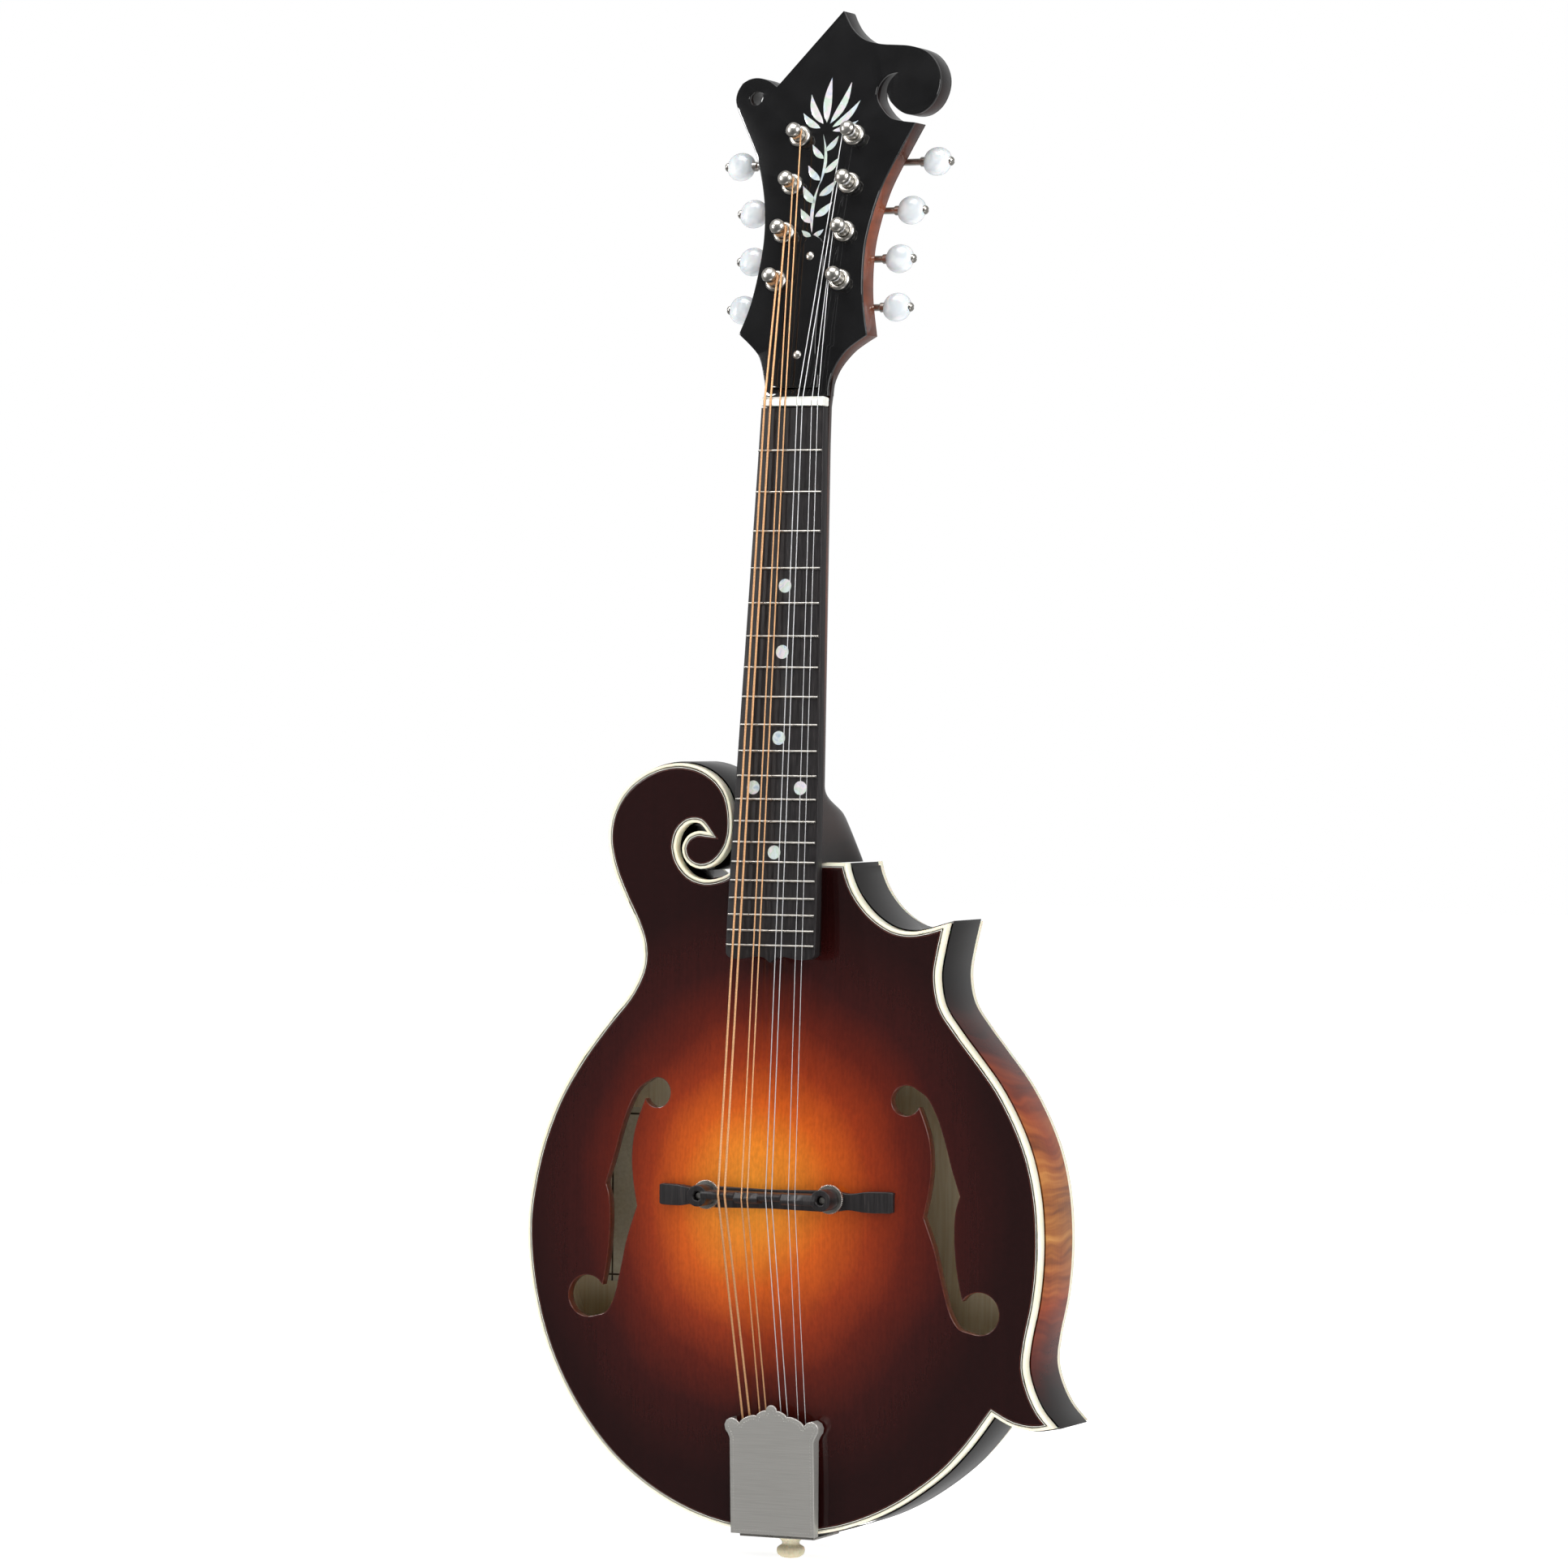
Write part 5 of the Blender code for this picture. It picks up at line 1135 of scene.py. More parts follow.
turned(
    "truss_rod_hex_nut", rod_profile, rod_place, 6, [nickel], body="rod_nut", stands_for=["truss_rod_nut"],
    finish_slot="nickel",
)


# The nut: a bar of white bone across the end of the fretboard, filed with a notch for each string.
STRINGS = (  # radius, and distance from the middle at the nut and at the saddle
    (0.5, -12.9, -18.6), (0.5, -10.0, -15.4), (0.33, -5.4, -7.3), (0.33, -2.9, -4.4),
    (0.2, 2.9, 4.4), (0.2, 5.4, 7.3), (0.15, 10.0, 15.4), (0.15, 12.9, 18.6),
)
NUT_TOP, NOTCH_FLOOR = 1.75 * mm, 1.2 * mm
NOTCH_PLAY, NOTCH_LIP = 0.08 * mm, 0.06 * mm
NUT_EASE = 0.35 * mm  # taken off its two ends

# Bone: white, a little translucent, with faint streaks along the bar
bone, tree, shader, spot = new_finish("polished_white_bone", 0.3, coat=0.3)
grainy = add(tree, "ShaderNodeMapping", {"Vector": spot, "Scale": (120, 600, 600)})
cloud = add(tree, "ShaderNodeTexNoise", {"Vector": grainy.outputs[0], "Scale": 1.0, "Detail": 3.0})
tree.links.new(ramp(tree, cloud.outputs[0], [(0.3, "D8D9D2"), (0.7, "ECEDE8")]), shader.inputs["Base Color"])
shader.inputs["Subsurface Weight"].default_value = 0.1
shader.inputs["Subsurface Scale"].default_value = 1.0 * mm


def notched(half):
    """Places across the nut, and the height of its top at each: a notch for every string."""
    marks = [(-half, NUT_TOP), (-half + 0.5 * mm, NUT_TOP)]
    for radius, at_nut, _ in STRINGS:
        wide, middle = radius * mm + NOTCH_PLAY, at_nut * mm
        marks += [(middle - wide - NOTCH_LIP, NUT_TOP), (middle - wide, NOTCH_FLOOR)]
        marks += [(middle + wide, NOTCH_FLOOR), (middle + wide + NOTCH_LIP, NUT_TOP)]
    return marks + [(half - 0.5 * mm, NUT_TOP), (half, NUT_TOP)]


nut_shape = eased([
    (-0.3 * mm, -BOARD_THICKNESS), (-0.3 * mm, NUT_TOP), (-NUT_LENGTH * 0.6, NUT_TOP),
    (-NUT_LENGTH, -0.6 * mm), (-NUT_LENGTH, -BOARD_THICKNESS),
], 0.5 * mm, closed=True)
rings = []
for x, top_height in notched(NUT_WIDTH / 2):
    inset = NUT_EASE if abs(abs(x) - NUT_WIDTH / 2) < 0.1 * mm else 0
    ring = []
    for p in nut_shape:
        along = p.x + inset * (p.x < -2 * mm) - inset * (p.x > -2 * mm)
        ring.append(board_point(along, x, min(p.y - inset * (p.y > 0), top_height)))
    rings.append(ring)
lofted("bone_nut", rings, [bone], stands_for=["nut"], finish_slot="bone")


# The fretboard: ebony, flat across, with a shaped end over the top. Twenty nickel frets are pressed into it,
# and pearl dots let in between them.
SCALE_LENGTH = 352.4 * mm
FRETS = 20
FRET_RADIUS, FRET_HEIGHT = 0.6 * mm, 1.0 * mm
DOT_RADIUS = 3.1 * mm
DOT_DEPTH = 1.2 * mm
DOTS = ((5, 0), (7, 0), (10, 0), (12, -11.5 * mm), (12, 11.5 * mm), (15, 0))  # fret, and place across

# Ebony: black-brown, straight fine pores, oiled rather than lacquered
ebony, tree, shader, spot = new_finish("oiled_ebony", 0.42)
pores = add(tree, "ShaderNodeMapping", {"Vector": spot, "Scale": (1500, 1500, 50)})
streak = add(tree, "ShaderNodeTexNoise", {"Vector": pores.outputs[0], "Scale": 1.0, "Detail": 4.0})
tree.links.new(
    ramp(tree, streak.outputs[0], [(0.3, "141112"), (0.6, "232021"), (0.75, "352F2D")]),
    shader.inputs["Base Color"],
)
dents = add(tree, "ShaderNodeBump", {"Height": streak.outputs[0], "Strength": 0.12, "Distance": 0.0003})
tree.links.new(dents.outputs[0], shader.inputs["Normal"])

board_loop = counter(refined(flat(face_loops("fretboard", BACK)[0]), 1.6 * mm))
board(
    "ebony_fretboard", [board_loop], sloped(board_y, 0.0, -BOARD_THICKNESS), [ebony], rounded=0.3 * mm,
    rounded_back=0.1 * mm, stands_for=["fretboard"], finish_slot="ebony",
)


def crowned_wire(tree, given):
    """A fret of unit length along X, half round, with its foot in the wood."""
    rod = add(tree, "GeometryNodeMeshCylinder", {"Vertices": 24, "Radius": 1.0, "Depth": 1.0})
    size = add(tree, "ShaderNodeCombineXYZ", {0: given["Height"], 1: given["Radius"], 2: 1.0})
    flat_rod = add(tree, "GeometryNodeTransform", {"Geometry": rod.outputs[0], "Scale": size.outputs[0]})
    return add(tree, "GeometryNodeTransform", {
        "Geometry": flat_rod.outputs[0], "Rotation": (0, math.pi / 2, 0),
    }).outputs[0]


fret_places, fret_sizes = [], []
for number in range(1, FRETS + 1):
    distance = SCALE_LENGTH * (1 - 2 ** (-number / 12))
    fret_places.append(board_point(distance, 0, 0))
    fret_sizes.append((NUT_WIDTH + WIDENING * distance - 0.5 * mm, 1, 1))
scattered(
    "nickel_frets", scatter_tree("fret_wires", crowned_wire), fret_places, nickel, "nickel",
    turn=(math.pi / 2 + NECK_PITCH, 0, 0), sizes=fret_sizes, radius=FRET_RADIUS, height=FRET_HEIGHT,
)
for number, (fret, across) in enumerate(DOTS):
    ends = [SCALE_LENGTH * (1 - 2 ** (-n / 12)) for n in (fret - 1, fret)]
    dot_place = aimed(
        board_point(sum(ends) / 2, across, 0.03 * mm), board_point(0, 0, -1) - board_point(0, 0, 0),
    )
    dot_profile = eased([(TIP, 0), (DOT_RADIUS, 0), (DOT_RADIUS, DOT_DEPTH), (TIP, DOT_DEPTH)], 0.03 * mm)
    turned(f"pearl_dot_{number + 1}", dot_profile, dot_place, 48, [pearl], finish_slot="pearl_button")


# The bridge: a base of ebony fitted to the arch, with two threaded posts. A knurled thumbwheel on each post
# carries the saddle, whose top is cut so that each pair of strings ends at its own distance.
BASE_HALF, POST_SPREAD = 57.0 * mm, 30.0 * mm
BASE_STEPS, SADDLE_STEPS = 38, 92  # rings in half a length
SADDLE_HALF = 27.8 * mm
BASE_DEPTH = 4.7  # mm, half its breadth along the strings at its ends
WAIST_PINCH, WAIST_REACH = 1.1, 5 * mm
MIDDLE_PINCH, MIDDLE_REACH = 0.5, 24 * mm
END_ROUND = 0.4 * mm
SADDLE_Z = -352.4 * mm
BASE_Z = SADDLE_Z - 1.2 * mm
BASE_TIP = 2.4 * mm
WAIST = 38.0 * mm
POST_RADIUS, POST_LENGTH = 1.8 * mm, 11.0 * mm
WHEEL_RADIUS, WHEEL_THICKNESS, WHEEL_LIFT = 6.6 * mm, 1.7 * mm, 1.6 * mm
BOSS_RADIUS, BOSS_BORE, WHEEL_BORE = 4.8 * mm, 2.1 * mm, 2.0 * mm
THREAD_PITCH, THREAD_DEPTH = 0.8 * mm, 0.3 * mm
# each pair's crown, from the saddle's middle towards the nut
CROWNS = (0.9 * mm, -0.6 * mm, 0.8 * mm, -0.8 * mm)
KNURLS = 48
seat_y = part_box("bridge_base")[0].y
wheel_y, boss_y, saddle_top = seat_y - WHEEL_LIFT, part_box("bridge_saddle")[1].y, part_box("bridge_saddle")[0].y

rings = []
for i in range(2 * BASE_STEPS + 1):
    x = BASE_HALF * (i / BASE_STEPS - 1)
    past = max(0.0, (abs(x) - POST_SPREAD - BOSS_RADIUS) / (BASE_HALF - POST_SPREAD - BOSS_RADIUS))
    near = math.exp(-(((abs(x) - WAIST) / WAIST_REACH) ** 2))
    half = (BASE_DEPTH - WAIST_PINCH * near - MIDDLE_PINCH * max(0.0, 1 - abs(x) / MIDDLE_REACH)) * mm
    if i in (0, 2 * BASE_STEPS):
        half -= END_ROUND
    rear_z = [BASE_Z + half * (1 - k / 4) for k in range(9)]
    rear = [Vector((x, skin_y(top_skin, x, z) - 0.03 * mm, z)) for z in rear_z]
    front_y = seat_y + (rear[4].y - BASE_TIP - seat_y) * past
    if i in (0, 2 * BASE_STEPS):
        front_y += END_ROUND
    crest = eased([(rear[-1].y, -half), (front_y, -half), (front_y, half), (rear[0].y, half)], 0.5 * mm)
    rings.append([Vector((x, p.x, BASE_Z + p.y)) for p in crest[1:-1]] + rear)
lofted("bridge_base_ebony", rings, [ebony], stands_for=["bridge_base"], finish_slot="ebony")

STRINGS_UP = 3.5 * mm  # over the fretboard's plane, at the saddle
CROWN_END, CROWN_EASE, END_DROP = 19.6 * mm, 2.5 * mm, 0.9 * mm
STRING_NOTCH = 0.45 * mm
crown_y = board_y(SADDLE_Z, STRINGS_UP) - 0.25 * mm
rings = []
for i in range(2 * SADDLE_STEPS + 1):
    x = (i / SADDLE_STEPS - 1) * SADDLE_HALF
    pair = min(range(4), key=lambda k: abs(x - (STRINGS[2 * k][2] + STRINGS[2 * k + 1][2]) / 2 * mm))
    crown = CROWNS[pair]
    lower = -0.1 * mm + min(1.0, max(0.0, (abs(x) - CROWN_END) / CROWN_EASE)) * END_DROP
    for radius, _, at_saddle in STRINGS:
        if abs(x - at_saddle * mm) < (radius + 0.05) * mm:
            lower = max(lower, STRING_NOTCH)
    arch = boss_y - 3.2 * mm - 1.5 * mm * math.cos(math.pi / 2 * x / SADDLE_HALF)
    low_edge = 1.1 * mm if crown > 0 else 2.4 * mm
    shape = [
        (arch, 2.6 * mm), (crown_y + 1.9 * mm, 2.4 * mm), (crown_y + lower, crown + 0.5 * mm),
        (crown_y + lower, crown - 0.5 * mm), (crown_y + 1.3 * mm, -low_edge), (arch, -low_edge - 0.3 * mm),
    ]
    rings.append([Vector((x, p.x, SADDLE_Z + p.y)) for p in eased(shape, 0.3 * mm, closed=True, steps=2)])
saddle = lofted("bridge_saddle_ebony", rings, [ebony], body=None)
for side in (-1, 1):
    place = aimed((side * POST_SPREAD, boss_y, SADDLE_Z), FRONT)
    boss_top = boss_y - saddle_top - 1.2 * mm
    ring = [(BOSS_BORE, 0), (BOSS_RADIUS, 0), (BOSS_RADIUS, boss_top), (BOSS_BORE, boss_top)]
    boss = turned("boss", eased(ring, 0.5 * mm, closed=True), place, 48, [ebony], closed=True, body=None)
    combine(saddle, boss)
adopt(saddle, "saddle", "ebony", "bridge_saddle")


def thread(pitch, depth):
    """A cut for turned(): a screw's thread."""
    return lambda angle, along, radius: depth * (0.5 - 0.5 * math.cos(angle - 2 * math.pi * along / pitch))


def knurl(count, depth, outermost):
    """A cut for turned(): grooves along the outermost surface."""
    return lambda angle, along, radius: depth * (0.5 - 0.5 * math.cos(count * angle)) * (radius > outermost)


for side, word in ((-1, "bass"), (1, "treble")):
    foot = aimed((side * POST_SPREAD, seat_y + 0.5 * mm, SADDLE_Z), FRONT)
    post_profile = [(POST_RADIUS - 0.5 * mm, 0)]
    post_profile += [(POST_RADIUS, 0.1 * mm + POST_LENGTH * i / 96) for i in range(97)]
    post_profile += [(POST_RADIUS - 0.5 * mm, POST_LENGTH + 0.4 * mm)]
    turned(
        f"bridge_post_thread_{word}", post_profile, foot, 24, [nickel], cut=thread(THREAD_PITCH, THREAD_DEPTH),
        stands_for=[f"bridge_post_{word}"], finish_slot="nickel",
    )
    rim = [(WHEEL_BORE, 0), (WHEEL_RADIUS, 0), (WHEEL_RADIUS, WHEEL_THICKNESS), (WHEEL_BORE, WHEEL_THICKNESS)]
    wheel_place = aimed((side * POST_SPREAD, wheel_y, SADDLE_Z), FRONT)
    turned(
        f"knurled_thumbwheel_{word}", eased(rim, 0.3 * mm, closed=True), wheel_place, KNURLS * 6,
        [nickel], closed=True, cut=knurl(KNURLS, 0.3 * mm, WHEEL_RADIUS - 0.35 * mm),
        body=f"wheel_{word}", stands_for=[f"thumbwheel_{word}"], finish_slot="nickel",
    )


# The tailpiece: a nickel base screwed to the end of the body, with a hook for each string, and over it a
# cover of brushed nickel sheet that slides off. A line of beads is struck along the cover's border.
COVER_SHEET = 0.8 * mm
BEAD_RADIUS, BEAD_STEP, BEAD_INSET = 0.24 * mm, 1.3 * mm, 1.8 * mm
BASE_SHEET = 0.9 * mm
HOOK_RADIUS, HOOK_HEIGHT = 0.8 * mm, 1.6 * mm

# Brushed nickel: grey satin with hairlines across it
satin, tree, shader, spot = new_finish("brushed_nickel", 0.42, metallic=0.72)
hairs = add(tree, "ShaderNodeMapping", {"Vector": spot, "Scale": (60, 900, 3000)})
brushed = add(tree, "ShaderNodeTexNoise", {"Vector": hairs.outputs[0], "Scale": 1.0, "Detail": 3.0})
tree.links.new(
    ramp(tree, brushed.outputs[0], [(0.3, "BDBBB6"), (0.7, "C9C7C2")]), shader.inputs["Base Color"],
)
scratch = add(tree, "ShaderNodeBump", {"Height": brushed.outputs[0], "Strength": 0.04, "Distance": 0.0002})
tree.links.new(scratch.outputs[0], shader.inputs["Normal"])
shader.inputs["Anisotropic"].default_value = 0.4

lid_low, lid_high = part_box("tailpiece_cover")
LID_HALF = 20.5 * mm
LID_TAIL_RISE = 7.6 * mm  # its face over the rims at the tail
LID_MOUTH = 61.5 * mm  # from the cover's tail end
EAR = [
    (20.5, 45.6), (21.3, 47.6), (22.6, 49.4), (23.0, 51.6), (22.0, 53.7), (19.8, 54.9), (17.4, 54.3),
    (15.6, 52.4),
]
SCALLOPS = ((15.6, 52.4), (7.4, 56.0), (2.7, 58.6), (-2.7, 58.6))  # where its edge's arcs meet
BULGE = (1.5, 0.9, 2.7)


def arc(start, end, bulge, steps=9):
    """Places along an arc that bulges to the left of its chord, without its end."""
    start, end = Vector(start), Vector(end)
    side = Vector(((start - end).y, (end - start).x)).normalized()
    turns = [math.pi * i / steps for i in range(steps)]
    return [start.lerp(end, (1 - math.cos(t)) / 2) + side * bulge * math.sin(t) for t in turns]


tail_z = lid_high.z - LID_MOUTH
ear = EAR[:-1]  # the last place is the first scallop's
crest = [p for a, b, bulge in zip(SCALLOPS, SCALLOPS[1:], BULGE) for p in arc(a, b, -bulge)]
crest += [Vector((-p.x, p.y)) for p in [Vector(SCALLOPS[2]), *crest[1:18][::-1], Vector(SCALLOPS[0])]]
lid_shape = [(LID_HALF / mm, 0), *ear, *crest, *((-x, up) for x, up in ear[::-1]), (-LID_HALF / mm, 0)]
lid_loop = counter([Vector((x * mm, max(lid_low.z, tail_z + up * mm))) for x, up in lid_shape])
LID_TAIL_Y = rim_front - LID_TAIL_RISE


def lid_y(z, level):
    """The Y of a plane that runs along the cover's face."""
    return LID_TAIL_Y + (lid_low.y - LID_TAIL_Y) * (z - lid_low.z) / (lid_high.z - lid_low.z) + level


lid = board(
    "tailpiece_lid", [lid_loop], lambda places: (
        np.array([lid_y(z, 0.0) for z in places[:, 1]]), np.full(len(places), lid_high.y),
    ), [satin], rounded=0.45 * mm, rounded_back=0.2 * mm, body=None,
)
straight = max(p.x for p in lid_loop if p.y < lid_low.z + 30 * mm)
inner = straight - COVER_SHEET
corner = [(-inner, lid_low.z + COVER_SHEET), (inner, lid_low.z + COVER_SHEET), (inner, lid_low.z + 80 * mm)]
tool = board(
    "hollow", [[Vector(p) for p in corner] + [Vector((-inner, lid_low.z + 80 * mm))]], lambda places: (
        np.array([lid_y(z, COVER_SHEET) for z in places[:, 1]]), np.full(len(places), lid_high.y + 5 * mm),
    ), [satin], rounded=0.3 * mm, body=None,
)
combine(lid, tool, "DIFFERENCE")
adopt(lid, "cover", "nickel", "tailpiece_cover")


def bead(tree, given):
    """A small round bead."""
    return add(tree, "GeometryNodeMeshIcoSphere", {"Radius": given["Radius"], "Subdivisions": 3}).outputs[0]


def spaced(loop, step):
    """Places an even step apart along a closed outline."""
    out, carried = [], 0.0
    for a, b in zip(loop, loop[1:] + loop[:1]):
        length = (b - a).length
        while carried < length:
            out.append(a + (b - a) * (carried / length))
            carried += step
        carried -= length
    return out


bead_line = spaced(moved_in(lid_loop, BEAD_INSET, 1.3), BEAD_STEP)
scattered(
    "struck_bead_border", scatter_tree("beads", bead), [(p.x, lid_y(p.y, 0.08 * mm), p.y) for p in bead_line],
    satin, "nickel", body="cover", radius=BEAD_RADIUS,
)

base_low, base_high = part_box("tailpiece_base")
strap = [
    (base_low.y, base_high.z), (base_low.y, base_low.z), (base_high.y, base_low.z),
    (base_high.y, base_low.z + BASE_SHEET), (base_low.y + BASE_SHEET, base_low.z + BASE_SHEET),
    (base_low.y + BASE_SHEET, base_high.z),
]
section = eased(strap, 0.8 * mm, closed=True)
half = base_high.x
ends = (-half, -half + 0.3 * mm, half - 0.3 * mm, half)
sections = [[Vector((x, p.x, p.y)) for p in section] for x in ends]
base_plate = lofted("tailpiece_base_plate", sections, [nickel], body=None)
pin_place = aimed((0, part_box("end_pin")[0].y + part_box("end_pin")[1].x, base_high.z), (0, 0, -1))
shank_hole = [(3.6 * mm, 0), (3.6 * mm, 60 * mm)]
combine(base_plate, turned("hole", shank_hole, pin_place, 40, [nickel], body=None), "DIFFERENCE")
adopt(base_plate, "root", "nickel", "tailpiece_base")
scattered(
    "tailpiece_base_screws", screw_tree,
    [(x, y, base_low.z) for x, y in ((-9 * mm, 14 * mm), (9 * mm, 14 * mm), (0, 4.5 * mm))], nickel, "nickel",
    turn=(math.pi, 0, 0), radius=2.0 * mm, height=0.7 * mm,
)


# The end pin: turned from cream plastic like a mushroom, with fluted sides, pressed into the tail block.
FLUTES, FLUTE_DEPTH = 22, 0.45 * mm
SHANK_RADIUS, SHANK_LENGTH = 3.1 * mm, 15 * mm
PIN_GAP = 0.25 * mm

# Cream plastic: soft and slightly translucent, with even gloss from the lathe
cream_plastic, tree, shader, spot = new_finish("turned_cream_plastic", 0.28, coat=0.4)
tint = add(tree, "ShaderNodeTexNoise", {"Vector": spot, "Scale": 120.0, "Detail": 2.0})
tree.links.new(ramp(tree, tint.outputs[0], [(0.3, "D6CBAA"), (0.7, "E6DDC2")]), shader.inputs["Base Color"])
shader.inputs["Subsurface Weight"].default_value = 0.2
shader.inputs["Subsurface Scale"].default_value = 1.5 * mm
pin_low, pin_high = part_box("end_pin")
pin_foot = aimed((0, (pin_low.y + pin_high.y) / 2, base_low.z - PIN_GAP), (0, 0, -1))
pin_end = base_low.z - PIN_GAP - pin_low.z
shape = [
    (SHANK_RADIUS, -SHANK_LENGTH), (SHANK_RADIUS, 0), (5.4 * mm, 0), (5.7 * mm, 1.2 * mm), (4.0 * mm, 2.6 * mm),
    (3.8 * mm, 4.0 * mm), (6.0 * mm, 5.2 * mm), (6.5 * mm, 6.6 * mm), (6.1 * mm, pin_end - 2.0 * mm),
    (3.8 * mm, pin_end - 0.5 * mm), (0.1 * mm, pin_end),
]
turned(
    "fluted_end_pin", eased(shape, 0.9 * mm), pin_foot, FLUTES * 6, [cream_plastic],
    cut=knurl(FLUTES, FLUTE_DEPTH, 4.2 * mm), stands_for=["end_pin"], finish_slot="cream_pin",
)


# The tuning machines: a nickel plate behind each side of the headstock carries four worms, which turn four
# geared posts. The posts come up through bushings in the face. Each button is pearl plastic on its shaft.
TUNER_MIDDLE, FIRST_POST, POST_STEP = -2.3 * mm, 60.2 * mm, 23.3 * mm
HALF_SPREAD, TAPER = 15.6 * mm, 0.78 * mm
BUTTON_REACH = (37.9 * mm, 36.2 * mm, 39.0 * mm, 48.6 * mm)
BARREL, WAIST_RADIUS, CAP = 3.0 * mm, 2.3 * mm, 3.7 * mm
POST_HEIGHT, COIL_DEPTH = 10.5 * mm, -6.0 * mm
PLATE_DEPTH, PLATE_SHEET = HEAD_DEPTH * math.cos(HEAD_TILT) + 0.3 * mm, 1.0 * mm
GEAR_DEPTH = PLATE_DEPTH + 1.9 * mm
GEAR_RADIUS, GEAR_THICKNESS, TEETH = 4.6 * mm, 3.4 * mm, 14
WORM_RADIUS, WORM_HALF, SHAFT = 2.3 * mm, 4.2 * mm, 1.6 * mm
WORM_DEPTH, WORM_DROP = GEAR_DEPTH + GEAR_THICKNESS / 2, GEAR_RADIUS + WORM_RADIUS + 0.3 * mm
BUTTON, BUTTON_DEPTH = 6.6 * mm, 3.9 * mm
SQUARED = 0.8  # less than 1 gives a button's section fuller corners
BUSHING = 5.1 * mm

# Pearl plastic: white with soft silky clouds under a polished skin
pearloid, tree, shader, spot = new_finish("white_pearl_plastic", 0.25, coat=0.5)
silk = add(tree, "ShaderNodeTexNoise", {"Vector": spot, "Scale": 150.0, "Detail": 1.0, "Distortion": 1.0})
tree.links.new(
    ramp(tree, silk.outputs[0], [(0.35, "C9CFD3"), (0.5, "D3D8DB"), (0.65, "DCDFE1")]),
    shader.inputs["Base Color"],
)
shader.inputs["Subsurface Weight"].default_value = 0.15
shader.inputs["Subsurface Scale"].default_value = 1.0 * mm

